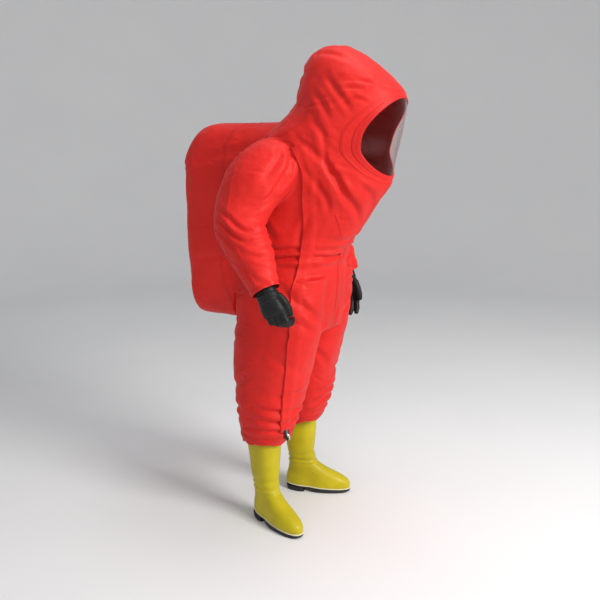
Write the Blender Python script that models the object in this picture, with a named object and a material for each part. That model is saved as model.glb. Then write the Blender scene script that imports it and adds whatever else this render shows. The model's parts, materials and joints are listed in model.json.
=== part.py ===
# Gas-tight chemical protective suit in its worn shape, empty, standing.
# Metres, +Z up.  The suit faces -Y, its own left side is +X.
# Origin: on the floor, centre of the bounding box.
import bpy, bmesh, math
import numpy as np
from mathutils import Vector, Matrix

for ob in list(bpy.data.objects):
    bpy.data.objects.remove(ob, do_unlink=True)

# ------------------------------------------------------------------ sizes
SHIFT = Vector((0.00433, 0.01253, 0.0))       # brings the box centre over the origin
WALL = 0.004                          # coated fabric shells
GAP = 0.0003                          # between pieces that touch
FOLD = 0.004                          # half the width of the soft band left at a joint's axis
N_BODY, N_LEG, N_ARM = 28, 20, 16     # points around each tube
ARM_X = 0.215                         # armhole plane
HIP_Y, HIP_Z = 0.040, 0.930           # hip axis
KNEE_Y, KNEE_Z = 0.050, 0.500         # knee axis
HIP_FRONT_UP, HIP_FRONT_DOWN = 26.0, -27.0    # half planes that bound torso and thigh, degrees
HIP_BACK_UP, HIP_BACK_DOWN = -4.0, -42.0
KNEE_BACK_UP, KNEE_BACK_DOWN = 37.0, -37.0
KNEE_FRONT_UP, KNEE_FRONT_DOWN = 4.0, -4.0
SHOULDER = (ARM_X, -0.005, 1.412)
HOOD_Z0, HOOD_SLOPE = 1.345, 0.34     # seam plane between hood and torso: z = HOOD_Z0 + slope * (y + 0.4)
VISOR_Z, VISOR_HX, VISOR_HZ = 1.532, 0.152, 0.142
# per side: (elbow y, z), (wrist y, z), elbow x, wrist x, hand length, hand lean y
ARMS = {"right": dict(s=-1, elbow=(0.045, 1.215), wrist=(-0.078, 1.020), ex=0.335, wx=0.368, tip=(-0.142, 0.872), tx=0.378),
        "left":  dict(s=+1, elbow=(0.045, 1.190), wrist=(-0.052, 0.970), ex=0.325, wx=0.360, tip=(-0.085, 0.762), tx=0.372)}
# torso and hood: height, front y, back y, half width, y of the widest point, squareness
BODY = [(0.760, -0.150, 0.185, 0.235, 0.02, 2.5), (0.840, -0.172, 0.200, 0.243, 0.02, 2.5), (0.930, -0.182, 0.203, 0.240, 0.02, 2.5),
        (1.000, -0.188, 0.195, 0.224, 0.02, 2.4), (1.060, -0.192, 0.185, 0.206, 0.02, 2.3), (1.100, -0.209, 0.182, 0.202, 0.03, 2.2),
        (1.150, -0.246, 0.180, 0.204, 0.045, 2.0), (1.210, -0.286, 0.178, 0.209, 0.055, 1.95), (1.270, -0.324, 0.175, 0.2145, 0.055, 1.95),
        (1.330, -0.368, 0.170, 0.222, 0.050, 1.95), (1.365, -0.390, 0.166, 0.226, 0.045, 2.0), (1.400, -0.394, 0.160, 0.227, 0.035, 2.05),
        (1.440, -0.400, 0.150, 0.226, 0.020, 2.1), (1.480, -0.408, 0.132, 0.222, -0.010, 2.1), (1.520, -0.418, 0.104, 0.217, -0.060, 2.15),
        (1.560, -0.427, 0.060, 0.206, -0.120, 2.15), (1.600, -0.434, 0.015, 0.193, -0.180, 2.15), (1.640, -0.438, -0.018, 0.183, -0.215, 2.1),
        (1.680, -0.434, -0.034, 0.174, -0.230, 2.1), (1.720, -0.412, -0.044, 0.162, -0.228, 2.1), (1.755, -0.378, -0.052, 0.147, -0.215, 2.1),
        (1.790, -0.332, -0.062, 0.126, -0.199, 2.1), (1.820, -0.286, -0.077, 0.100, -0.184, 2.1), (1.842, -0.242, -0.098, 0.070, -0.174, 2.1),
        (1.855, -0.208, -0.122, 0.040, -0.167, 2.1)]
# one leg, for x > 0: height, front y, back y, inner x, outer x
LEG = [(0.340, -0.034, 0.150, 0.040, 0.238), (0.400, -0.056, 0.158, 0.026, 0.250), (0.460, -0.076, 0.164, 0.016, 0.258),
       (0.520, -0.090, 0.172, 0.010, 0.260), (0.600, -0.110, 0.182, 0.007, 0.258), (0.700, -0.136, 0.190, 0.006, 0.254),
       (0.780, -0.158, 0.180, 0.006, 0.249), (0.806, -0.162, 0.168, 0.006, 0.247), (0.830, -0.166, 0.160, 0.006, 0.245),
       (0.930, -0.180, 0.160, 0.006, 0.238), (1.060, -0.190, 0.160, 0.006, 0.208)]
# free edge of the flap over the zip, on the right side: height, y
FLAP_EDGE = [(0.360, -0.040), (0.417, -0.044), (0.540, -0.061), (0.772, -0.088), (0.943, -0.092), (1.080, -0.105), (1.205, -0.123),
             (1.317, -0.131), (1.400, -0.140), (1.450, -0.124), (1.500, -0.105)]
FLAP_W = 0.060

# ------------------------------------------------------------------ materials
def material(name, rgb, rough, metal=0.0, alpha=1.0):
    m = bpy.data.materials.new(name)
    m.use_nodes = True
    b = m.node_tree.nodes["Principled BSDF"]
    b.inputs["Base Color"].default_value = (*rgb, 1.0)
    b.inputs["Roughness"].default_value = rough
    b.inputs["Metallic"].default_value = metal
    b.inputs["Alpha"].default_value = alpha
    m.diffuse_color = (*rgb, alpha)
    return m

RED = material("coated_fabric_red", (0.78, 0.055, 0.050), 0.55)
RED_DARK = material("seam_red", (0.62, 0.040, 0.038), 0.50)
BLACK = material("rubber_black", (0.012, 0.012, 0.013), 0.55)
YELLOW = material("boot_yellow", (0.62, 0.52, 0.03), 0.38)
CREAM = material("welt_cream", (0.72, 0.70, 0.50), 0.5)
CLEAR = material("visor_clear", (0.86, 0.88, 0.88), 0.05, alpha=0.25)
BRASS = material("zip_brass", (0.72, 0.55, 0.24), 0.35, 1.0)
GREY = material("plastic_grey", (0.30, 0.30, 0.31), 0.45)
WEB = material("webbing_black", (0.03, 0.03, 0.03), 0.8)
STEEL = material("steel", (0.62, 0.62, 0.62), 0.35, 1.0)

# ------------------------------------------------------------------ helpers
def smooth(t):
    return t * t * (3.0 - 2.0 * t)

def table(rows, z):
    """Monotone smooth read of a table of rows sorted by their first column."""
    zs = [r[0] for r in rows]
    if z <= zs[0]: return list(rows[0][1:])
    if z >= zs[-1]: return list(rows[-1][1:])
    i = max(k for k in range(len(zs) - 1) if zs[k] <= z)
    t = (z - zs[i]) / (zs[i + 1] - zs[i])
    return [a + (b - a) * t for a, b in zip(rows[i][1:], rows[i + 1][1:])]

def body_point(phi, z, off):
    """Point of the torso and hood surface; phi = 0 at the front, + toward +X; off = outward offset."""
    f, b, hw, cy, ex = table(BODY, z)
    c, q = math.cos(phi), math.sin(phi)
    ry = (cy - f if c >= 0 else b - cy) + off
    x = (hw + off) * math.copysign(abs(q) ** (2.0 / ex), q)
    return x, cy - ry * math.copysign(abs(c) ** (2.0 / ex), c)

def body_y(x, z, off, back=False):
    """y of that surface at x, on its front or its back."""
    f, b, hw, cy, ex = table(BODY, z)
    k = max(0.0, 1.0 - min(1.0, abs(x) / (hw + off)) ** ex) ** (1.0 / ex)
    return cy + (b - cy + off) * k if back else cy - (cy - f + off) * k

def body_x(y, z, off):
    """|x| of that surface at y, on its front half."""
    f, b, hw, cy, ex = table(BODY, z)
    k = max(0.0, 1.0 - min(1.0, max(0.0, cy - y) / (cy - f + off)) ** ex) ** (1.0 / ex)
    return (hw + off) * k

def leg_x(y, z, off):
    """Outer |x| of a leg at y, on its front half."""
    f, b, xi, xo = table(LEG, z)
    cx, cy, ex = (xi + xo) / 2, (f + b) / 2, 2.3
    k = max(0.0, 1.0 - min(1.0, max(0.0, cy - y) / (cy - f + off)) ** ex) ** (1.0 / ex)
    return cx + ((xo - xi) / 2 + off) * k

def leg_point(phi, z, off, s):
    f, b, xi, xo = table(LEG, z)
    cx, cy = (xi + xo) / 2, (f + b) / 2
    rx, ry = (xo - xi) / 2 + off, (b - f) / 2 + off
    ex = 2.3
    c, q = math.cos(phi), math.sin(phi)
    return s * (cx + rx * math.copysign(abs(q) ** (2 / ex), q)), cy - ry * math.copysign(abs(c) ** (2 / ex), c)

def half_planes(y, z, front_deg, back_deg, side):
    """Height of two half planes that meet on the axis (y, z), at a point with coordinate side = y."""
    d = side - y
    a = math.radians(front_deg if d < 0 else back_deg)
    return z + abs(d) * math.tan(a)

def mesh_object(name, verts, faces, mat, smooth_deg=40):
    me = bpy.data.meshes.new(name)
    me.from_pydata([tuple(Vector(v) + SHIFT) for v in verts], [], faces)
    bm = bmesh.new(); bm.from_mesh(me)
    bmesh.ops.remove_doubles(bm, verts=bm.verts, dist=1e-6)
    bmesh.ops.recalc_face_normals(bm, faces=bm.faces)
    if bm.calc_volume(signed=True) < 0:
        bmesh.ops.reverse_faces(bm, faces=bm.faces)
    bmesh.ops.triangulate(bm, faces=[f for f in bm.faces if len(f.verts) > 4])
    bm.to_mesh(me); bm.free()
    me.materials.append(mat)
    if smooth_deg:
        me.shade_smooth()
        me.set_sharp_from_angle(angle=math.radians(smooth_deg))
    ob = bpy.data.objects.new(name, me)
    bpy.context.scene.collection.objects.link(ob)
    return ob

def rings_faces(n_rings, n, base=0, flip=False):
    out = []
    for i in range(n_rings - 1):
        for j in range(n):
            a, b = base + i * n + j, base + i * n + (j + 1) % n
            out.append((a, b, b + n, a + n))
    return out

def thick(name, rows_out, rows_in, mat, closed_end=False):
    """Closed shell from outer and inner rings (same counts); both ends open unless closed_end caps the last ring."""
    n = len(rows_out[0])
    verts, faces = [], []
    for rows in (rows_out, rows_in):
        for r in rows: verts.extend(r)
    k = len(rows_out)
    o2 = k * n
    faces += rings_faces(k, n, 0)
    faces += [tuple(reversed(f)) for f in rings_faces(len(rows_in), n, o2)]
    for j in range(n):                        # first end: annulus
        faces.append((j, o2 + j, o2 + (j + 1) % n, (j + 1) % n))
    lo, li = (k - 1) * n, o2 + (len(rows_in) - 1) * n
    if closed_end:
        faces.append(tuple(lo + j for j in range(n)))
        faces.append(tuple(li + j for j in reversed(range(n))))
    else:
        for j in range(n):
            faces.append((lo + (j + 1) % n, li + (j + 1) % n, li + j, lo + j))
    return mesh_object(name, verts, faces, mat)

def solid(name, rows, mat, smooth_deg=40):
    """Closed body from rings with both ends capped."""
    n = len(rows[0])
    verts = [p for r in rows for p in r]
    faces = rings_faces(len(rows), n, 0)
    faces.append(tuple(reversed(range(n))))
    faces.append(tuple((len(rows) - 1) * n + j for j in range(n)))
    return mesh_object(name, verts, faces, mat, smooth_deg)

def sliced(point, n, lo, hi, steps, off, warp=1.0):
    """Rings of a surface of horizontal slices between two boundary heights that depend on y."""
    rows = []
    for i in range(steps + 1):
        t = 1.0 - (1.0 - i / steps) ** warp
        ring = []
        for j in range(n):
            phi = 2 * math.pi * j / n
            z = 0.5 * (lo(0.0) + hi(0.0))
            for _ in range(14):
                x, y = point(phi, z, off)
                z = lo(y) * (1 - t) + hi(y) * t
            x, y = point(phi, z, off)
            ring.append((x, y, z))
        rows.append(ring)
    return rows

def cutter(name, verts, faces):
    ob = mesh_object(name, verts, faces, WEB, 0)
    ob.hide_render = True
    ob.display_type = 'WIRE'
    return ob

def box_cutter(name, lo, hi):
    v = [(x, y, z) for x in (lo[0], hi[0]) for y in (lo[1], hi[1]) for z in (lo[2], hi[2])]
    f = [(0, 1, 3, 2), (4, 6, 7, 5), (0, 4, 5, 1), (2, 3, 7, 6), (0, 2, 6, 4), (1, 5, 7, 3)]
    return cutter(name, v, f)

def boolean(ob, other, op):
    m = ob.modifiers.new(op.lower(), 'BOOLEAN')
    m.operation, m.object, m.solver = op, other, 'EXACT'

def apply_mods(ob, remove=()):
    """Bake the modifiers so that cutters can go."""
    dg = bpy.context.evaluated_depsgraph_get(); dg.update()
    me = bpy.data.meshes.new_from_object(ob.evaluated_get(dg))
    mats = list(ob.data.materials)
    ob.modifiers.clear(); ob.data = me
    bm = bmesh.new(); bm.from_mesh(me)
    bmesh.ops.remove_doubles(bm, verts=bm.verts, dist=2e-5)
    bmesh.ops.dissolve_degenerate(bm, edges=bm.edges, dist=1e-5)
    bmesh.ops.triangulate(bm, faces=bm.faces)
    bmesh.ops.recalc_face_normals(bm, faces=bm.faces)
    if bm.calc_volume(signed=True) < 0:
        bmesh.ops.reverse_faces(bm, faces=bm.faces)
    bm.to_mesh(me); bm.free()
    me.materials.clear()
    for m in mats: me.materials.append(m)
    for p in me.polygons: p.material_index = 0
    me.shade_smooth(); me.set_sharp_from_angle(angle=math.radians(40))
    for c in remove: bpy.data.objects.remove(c, do_unlink=True)

def oval(hx, hz, cz, n, ex=2.25):
    out = []
    for j in range(n):
        a = 2 * math.pi * j / n
        c, s = math.cos(a), math.sin(a)
        out.append((hx * math.copysign(abs(c) ** (2 / ex), c), cz + hz * math.copysign(abs(s) ** (2 / ex), s)))
    return out

def oval_prism(name, hx, hz, cz, y0, y1, n=24):
    pts = oval(hx, hz, cz, n)
    v = [(x, y0, z) for x, z in pts] + [(x, y1, z) for x, z in pts]
    f = [tuple(range(n)), tuple(reversed(range(n, 2 * n)))] + [(j, n + j, n + (j + 1) % n, (j + 1) % n) for j in range(n)]
    return cutter(name, v, f)

# ------------------------------------------------------------------ torso, hood
def hood_seam(y): return HOOD_Z0 + HOOD_SLOPE * (y + 0.4)
def torso_low(y): return half_planes(HIP_Y, HIP_Z + FOLD, HIP_FRONT_UP, HIP_BACK_UP, y)

def slab_cut(ob):
    """Flat armholes: keep only what lies between the two armhole planes."""
    c = box_cutter("cut_slab", (-ARM_X, -0.7, 0.5), (ARM_X, 0.7, 2.1))
    boolean(ob, c, 'INTERSECT'); apply_mods(ob, [c])

torso = thick("torso_shell",
              sliced(body_point, N_BODY, torso_low, lambda y: hood_seam(y) - GAP, 7, 0.0),
              sliced(body_point, N_BODY, torso_low, lambda y: hood_seam(y) - GAP, 7, -WALL), RED)

back_window = box_cutter("cut_back_window", (-0.140, 0.03, 0.985), (0.140, 0.35, 1.455))
boolean(torso, back_window, 'DIFFERENCE'); apply_mods(torso, [back_window])
slab_cut(torso)

HOOD_TOP = 1.855                       # crown
hood = thick("hood_shell",
             sliced(body_point, N_BODY, hood_seam, lambda y: HOOD_TOP, 11, 0.0, 1.35),
             sliced(body_point, N_BODY, hood_seam, lambda y: HOOD_TOP - WALL, 11, -WALL, 1.35), RED, closed_end=True)
window = oval_prism("cut_visor", VISOR_HX, VISOR_HZ, VISOR_Z, -0.75, -0.18)
boolean(hood, window, 'DIFFERENCE'); apply_mods(hood, [window])
slab_cut(hood)

def oval_patch(name, fractions, hx, hz, off_out, off_in, mat, centre=True, n=24):
    """Closed plate that follows the hood's front inside an oval, or a ring when centre is False."""
    verts, faces = [], []
    for off in (off_out, off_in):
        for fr in fractions:
            verts += [(x, body_y(x, z, off), z) for x, z in
                      [(px * fr[0], VISOR_Z + (pz - VISOR_Z) * fr[1]) for px, pz in oval(hx, hz, VISOR_Z, n)]]
    k = len(fractions)
    faces += rings_faces(k, n, 0) + [tuple(reversed(f)) for f in rings_faces(k, n, k * n)]
    last, o2 = (k - 1) * n, k * n
    for j in range(n):
        faces.append((last + j, last + (j + 1) % n, o2 + last + (j + 1) % n, o2 + last + j))
        if not centre:
            faces.append((j, o2 + j, o2 + (j + 1) % n, (j + 1) % n))
    if centre:
        for base, off in ((0, off_out), (o2, off_in)):
            verts.append((0.0, body_y(0.0, VISOR_Z, off), VISOR_Z))
            c = len(verts) - 1
            faces += [(base + j, base + (j + 1) % n, c) for j in range(n)]
    return mesh_object(name, verts, faces, mat)

lens_fr = [(0.33, 0.33), (0.62, 0.62), (0.84, 0.84), (0.993, 0.993)]
oval_patch("visor_lens", lens_fr, VISOR_HX, VISOR_HZ, -0.0008, -0.0032, CLEAR)
oval_patch("visor_frame", [(0.945, 0.94), (1.02, 1.02), (1.10, 1.11)], VISOR_HX, VISOR_HZ, 0.0056, 0.0018, RED_DARK, centre=False)

# ------------------------------------------------------------------ hump over the breathing apparatus
HUMP_HX, HUMP_Z0, HUMP_Z1, HUMP_Y = 0.188, 0.822, 1.592, 0.416
def hump_ring(grow, ywall, shrink, n=28):
    """One ring of the hump; ywall < 0 means the edge that follows the suit's back."""
    cz, hz = (HUMP_Z0 + HUMP_Z1) / 2, (HUMP_Z1 - HUMP_Z0) / 2
    ring = []
    for j in range(n):
        a = 2 * math.pi * j / n
        c, q = math.cos(a), math.sin(a)
        x = (HUMP_HX * shrink + grow) * math.copysign(abs(c) ** (2 / 4.6), c)
        z = cz + (hz * (1 - (1 - shrink) * 0.55) + grow) * math.copysign(abs(q) ** (2 / 5.5), q)
        edge = body_y(x, z, -0.020, back=True)
        deep = HUMP_Y - 0.016 * smooth(min(1.0, max(0.0, (1.25 - z) / 0.4))) - 0.035 * smooth(min(1.0, max(0.0, (z - 1.44) / 0.15)))
        y = edge + (deep + grow - edge) * ywall
        ring.append((x, y, z))
    return ring
hump_out = [hump_ring(0.0, t, s) for t, s in ((0.0, 1.0), (0.5, 1.0), (0.82, 0.985), (0.94, 0.93), (0.99, 0.83), (1.0, 0.62))]
hump_in = [hump_ring(-WALL, t, s) for t, s in ((0.0, 1.0), (0.5, 1.0), (0.82, 0.985), (0.94, 0.93), (0.99, 0.83), (1.0, 0.62))]
hump = thick("hump_shell", hump_out, hump_in, RED, closed_end=True)
body_form = solid("cut_body_form", sliced(body_point, N_BODY, lambda y: 0.78, lambda y: 1.853, 30, 0.0060), WEB)
body_form.hide_render = True
body_form.display_type = 'WIRE'
boolean(hump, body_form, 'DIFFERENCE'); apply_mods(hump, [body_form])
VALVES = [(0.290, 1.300), (0.290, 1.200)]              # y, z of the exhaust valves on the left wall
VALVE_X = 0.1905
for vy, vz in VALVES:
    v = [(x, vy + 0.018 * math.cos(a), vz + 0.018 * math.sin(a)) for x in (0.15, 0.21) for a in [2 * math.pi * k / 16 for k in range(16)]]
    f = [tuple(range(16)), tuple(reversed(range(16, 32)))] + [(k, 16 + k, 16 + (k + 1) % 16, (k + 1) % 16) for k in range(16)]
    c = cutter("cut_valve", v, f)
    boolean(hump, c, 'DIFFERENCE'); apply_mods(hump, [c])

def turned_x(name, y, z, profile, mat, n=16):
    """Body turned about an X axis at (y, z); profile of (x, r), closed loop, radii above zero, or an open one that ends on the axis."""
    closed = profile[0][1] > 0 and profile[-1][1] > 0
    verts, faces = [], []
    idx = []
    for px, r in profile:
        if r == 0:
            verts.append((px, y, z)); idx.append([len(verts) - 1] * n)
        else:
            base = len(verts)
            verts += [(px, y + r * math.cos(2 * math.pi * k / n), z + r * math.sin(2 * math.pi * k / n)) for k in range(n)]
            idx.append([base + k for k in range(n)])
    m = len(profile)
    for i in range(m if closed else m - 1):
        A, B = idx[i], idx[(i + 1) % m]
        for k in range(n):
            q = [A[k], A[(k + 1) % n], B[(k + 1) % n], B[k]]
            q = [p for i2, p in enumerate(q) if p not in q[:i2]]
            if len(q) > 2: faces.append(tuple(q))
    return mesh_object(name, verts, faces, mat, 30)

for i, (vy, vz) in enumerate(VALVES):
    tag = ("upper", "lower")[i]
    x0 = VALVE_X
    turned_x("valve_seat_" + tag, vy, vz, [(x0, 0.012), (x0, 0.034), (x0 + 0.004, 0.034), (x0 + 0.004, 0.0295), (x0 + 0.011, 0.0295), (x0 + 0.011, 0.0265), (x0 + 0.0025, 0.0265), (x0 + 0.0025, 0.012)], GREY)
    turned_x("valve_disc_" + tag, vy, vz, [(x0 + 0.0030, 0.0), (x0 + 0.0030, 0.018), (x0 + 0.0045, 0.018), (x0 + 0.0045, 0.003), (x0 + 0.0080, 0.003), (x0 + 0.0080, 0.0)], BLACK, 12)
    turned_x("valve_cap_" + tag, vy, vz, [(x0 + 0.0150, 0.0), (x0 + 0.0150, 0.027), (x0 + 0.0120, 0.0318), (x0 + 0.0043, 0.0318), (x0 + 0.0043, 0.0298), (x0 + 0.0113, 0.0298), (x0 + 0.0113, 0.0120), (x0 + 0.0128, 0.0120), (x0 + 0.0128, 0.0)], RED_DARK)

# ------------------------------------------------------------------ waist belt inside the suit
def belt_ring(z, off): return [(*body_point(2 * math.pi * j / 28, z, off), z) for j in range(28)]
thick("waist_belt", [belt_ring(1.045, -0.022), belt_ring(1.085, -0.022)], [belt_ring(1.045, -0.0245), belt_ring(1.085, -0.0245)], WEB)

# ------------------------------------------------------------------ trouser legs
def thigh_high(y): return half_planes(HIP_Y, HIP_Z - FOLD, HIP_FRONT_DOWN, HIP_BACK_DOWN, y)
def thigh_low(y): return half_planes(KNEE_Y, KNEE_Z + FOLD, KNEE_FRONT_UP, KNEE_BACK_UP, y)
def shin_high(y): return half_planes(KNEE_Y, KNEE_Z - FOLD, KNEE_FRONT_DOWN, KNEE_BACK_DOWN, y)
def hem(y): return 0.352 - 0.03 * (y - 0.06)
for side, sg in (("right", -1), ("left", 1)):
    pt = lambda phi, z, off, sg=sg: leg_point(phi, z, off, sg)
    def leg_shell(name, lo, hi, steps):
        thick(name, sliced(pt, N_LEG, lo, hi, steps, 0.0), sliced(pt, N_LEG, lo, hi, steps, -WALL), RED)
    leg_shell("trouser_thigh_" + side, thigh_low, thigh_high, 6)
    leg_shell("trouser_shin_" + side, hem, shin_high, 4)
    leg_shell("hip_gusset_" + side, lambda y: thigh_high(y) + 0.001, lambda y: torso_low(y) - 0.001, 3)
    leg_shell("knee_gusset_" + side, lambda y: shin_high(y) + 0.001, lambda y: thigh_low(y) - 0.001, 3)

# ------------------------------------------------------------------ sleeves and gloves
ELBOW_UP, ELBOW_DOWN, ELBOW_BACK_UP, ELBOW_BACK_DOWN = 40.0, -17.0, 0.0, -17.0
def to_half_planes(p, d, ey, ez, front, back):
    """Slide a point along d until it lies on one of two half planes through the X axis line at (ey, ez)."""
    best = None
    for ang, sgn in ((front, -1.0), (back, 1.0)):
        a = math.radians(ang)
        ty, tz = sgn * math.cos(a), math.sin(a)          # direction of the half plane
        ny, nz = -tz, ty                                 # its normal
        den = d[1] * ny + d[2] * nz
        if abs(den) < 1e-6: continue
        t = -((p[1] - ey) * ny + (p[2] - ez) * nz) / den
        q = (p[0] + d[0] * t, p[1] + d[1] * t, p[2] + d[2] * t)
        if (q[1] - ey) * ty + (q[2] - ez) * tz >= -1e-9 and (best is None or abs(t) < abs(best[0])):
            best = (t, q)
    return best[1]

def arm_ring(s, c, T, ru, rv, n=N_ARM):
    """Ring round an arm: u lies near Y, v points outward and up."""
    T = Vector((T[0] * s, T[1], T[2])).normalized()
    u = Vector((0, -1, 0)); u = (u - T * u.dot(T)).normalized()
    v = u.cross(T) * s
    v.normalize()
    C = Vector((c[0] * s, c[1], c[2]))
    return [C + u * (ru * math.cos(a)) + v * (rv * math.sin(a)) for a in [2 * math.pi * k / n for k in range(n)]], T

for side, A in ARMS.items():
    s, (ey, ez), (wy, wz) = A["s"], A["elbow"], A["wrist"]
    ex, wx = A["ex"], A["wx"]
    dz = ez - 1.215
    path = [((ARM_X + GAP, -0.010, 1.410), (1, 0, 0), 0.112, 0.113),
            ((0.262, 0.020, 1.368), (0.80, 0.05, -0.60), 0.114, 0.104),
            ((0.298, 0.045, 1.300), (0.35, 0.02, -0.93), 0.108, 0.084),
            ((0.318, 0.050, 1.262 + dz * 0.5), (0.25, -0.05, -0.97), 0.100, 0.078)]
    def keep_out(ring, w):
        return [(s * max(abs(p[0]), ARM_X + GAP + w), p[1], p[2]) for p in ring]
    def arm_rows(w, upper):
        if upper:
            rows = [keep_out(arm_ring(s, c, T, ru - w, rv - w)[0], w if i else 0.0) for i, (c, T, ru, rv) in enumerate(path)]
            r, T = arm_ring(s, (ex, ey, ez), (0.2, -0.2, -0.96), 0.094 - w, 0.075 - w)
            rows.append([to_half_planes(p, T, ey, ez + FOLD, ELBOW_UP, ELBOW_BACK_UP) for p in r])
            return rows
        T0 = (wx - ex, wy - ey, wz - ez)
        r, T = arm_ring(s, (ex, ey, ez), T0, 0.092 - w, 0.075 - w)
        rows = [[to_half_planes(p, T, ey, ez - FOLD, ELBOW_DOWN, ELBOW_BACK_DOWN) for p in r]]
        for t, ru, rv in ((0.62, 0.076, 0.066), (0.86, 0.062, 0.056), (1.0, 0.055, 0.050)):
            rows.append([tuple(p) for p in arm_ring(s, (ex + (wx - ex) * t, ey + (wy - ey) * t, ez + (wz - ez) * t), T0, ru - w, rv - w)[0]])
        return rows
    up_o, up_i, fo_o, fo_i = arm_rows(0, True), arm_rows(WALL, True), arm_rows(0, False), arm_rows(WALL, False)
    thick("sleeve_upper_" + side, up_o, up_i, RED)
    thick("sleeve_forearm_" + side, fo_o, fo_i, RED)
    def between(a, b, g=0.0012):
        A2 = [Vector(p) for p in a]; B2 = [Vector(p) for p in b]
        out = []
        for t in (0.0, 0.5, 1.0):
            row = []
            for p, q in zip(A2, B2):
                d = (q - p); L = max(d.length, 1e-6)
                tt = min(max(t, g / L), 1 - g / L) if L > 2 * g else 0.5 + (t - 0.5) * 0.2
                row.append(tuple(p + d * tt))
            out.append(row)
        return out
    thick("elbow_gusset_" + side, between(up_o[-1], fo_o[0]), between(up_i[-1], fo_i[0]), RED)

    # hard ring in the sleeve's end, and the glove
    W = Vector((s * wx, wy, wz)); D = (Vector((s * A["tx"], A["tip"][0], A["tip"][1])) - W)
    length = D.length; D.normalize()
    Tf = (wx - ex, wy - ey, wz - ez); L = math.dist(Tf, (0, 0, 0))
    def ring_at(dist, ru, rv, n=N_ARM):
        k = dist / L
        return [tuple(p) for p in arm_ring(s, (wx + Tf[0] * k, wy + Tf[1] * k, wz + Tf[2] * k), Tf, ru, rv, n)[0]]
    thick("glove_ring_" + side, [ring_at(-0.024, 0.0485, 0.0435), ring_at(-0.001, 0.0485, 0.0435)],
          [ring_at(-0.024, 0.0450, 0.0400), ring_at(-0.001, 0.0450, 0.0400)], GREY)
    def hand_ring(t, ru, rv, lean=0.0):
        c = W + D * t
        T = (D.x * s, D.y, D.z)
        return [p + Vector((0, lean, 0)) for p in arm_ring(s, (c.x * s, c.y, c.z), T, ru, rv)[0]]
    wedge = math.radians(15.0)
    def glove_rows(w):
        first = []
        for p in hand_ring(0.0, 0.050 - w, 0.045 - w):
            d = abs((Vector(p) - W).dot(Vector((0, -1, 0))))
            first.append(tuple(p + D * (0.014 + d * math.tan(wedge))))
        h = length
        prof = [(0.030, 0.046, 0.040, 0.0), (0.052, 0.042, 0.036, 0.0), (h * 0.50, 0.047, 0.036, -0.002), (h * 0.66, 0.050, 0.033, -0.004),
                (h * 0.84, 0.046, 0.031, -0.004), (h * 0.95, 0.036, 0.025, 0.0), (h, 0.022, 0.014, 0.0)]
        if w: prof[-1] = (h - w, 0.022, 0.014, 0.0)
        return [first] + [[tuple(p) for p in hand_ring(t, ru - w, rv - w, le)] for t, ru, rv, le in prof]
    glove = thick("glove_" + side, glove_rows(0.0), glove_rows(0.0025), BLACK, closed_end=True)
    # thumb, joined to the palm
    base = W + D * (length * 0.46) + Vector((-0.010 * s, -0.036, 0.0))
    tipv = W + D * (length * 0.80) + Vector((-0.014 * s, -0.052, 0.0))
    td = (tipv - base)
    rows = []
    for t, r in ((0.0, 0.008), (0.12, 0.0125), (0.55, 0.0125), (0.86, 0.0105), (1.0, 0.005)):
        c = base + td * t
        rows.append([tuple(p) for p in arm_ring(s, (c.x * s, c.y, c.z), (td.x * s, td.y, td.z), r, r, 10)[0]])
    thumb = solid("cut_thumb", rows, BLACK)
    boolean(glove, thumb, 'UNION'); apply_mods(glove, [thumb])

# ------------------------------------------------------------------ boots
TOE_OUT, BOOT_LEN, HEEL_X, HEEL_Y = 21.0, 0.290, 0.128, 0.122
def drop(l): return 0.013 * l / BOOT_LEN         # the foot bed falls in one plane from heel to toe
BOOT = [  # height, back l, front l, half width
    (0.0300, 0.006, 0.284, 0.0450), (0.0420, 0.003, 0.286, 0.0475), (0.0600, 0.004, 0.276, 0.0465), (0.0800, 0.008, 0.240, 0.0430),
    (0.1000, 0.012, 0.190, 0.0405), (0.1250, 0.015, 0.148, 0.0400), (0.1600, 0.013, 0.130, 0.0425), (0.2200, 0.004, 0.130, 0.0500),
    (0.3000, -0.004, 0.134, 0.0570), (0.3600, -0.008, 0.136, 0.0600), (0.4050, -0.009, 0.136, 0.0605)]
def foot(s, l, w, z):
    a = math.radians(TOE_OUT)
    fx, fy = math.sin(a) * s, -math.cos(a)
    return (s * HEEL_X + fx * l - fy * w * s, HEEL_Y + fy * l + fx * w * s, z)
def foot_outline(l0, l1, hw, n, ex=2.4):
    """Sole outline: narrow waist, wide ball."""
    out = []
    for k in range(n):
        a = 2 * math.pi * k / n
        c, q = math.cos(a), math.sin(a)
        l = (l0 + l1) / 2 + (l1 - l0) / 2 * math.copysign(abs(c) ** (2 / ex), c)
        w = hw * math.copysign(abs(q) ** (2 / ex), q)
        out.append((l, w))
    return out
def shape_w(l, w, z):
    k = max(0.0, min(1.0, (0.13 - z) / 0.08))
    waist = 1.0 - 0.16 * math.exp(-((l - 0.105) / 0.035) ** 2) - 0.20 * math.exp(-((l - 0.0) / 0.06) ** 2) * (1 if z < 0.12 else 0)
    return w * (1 + (waist - 1) * k)
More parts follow.
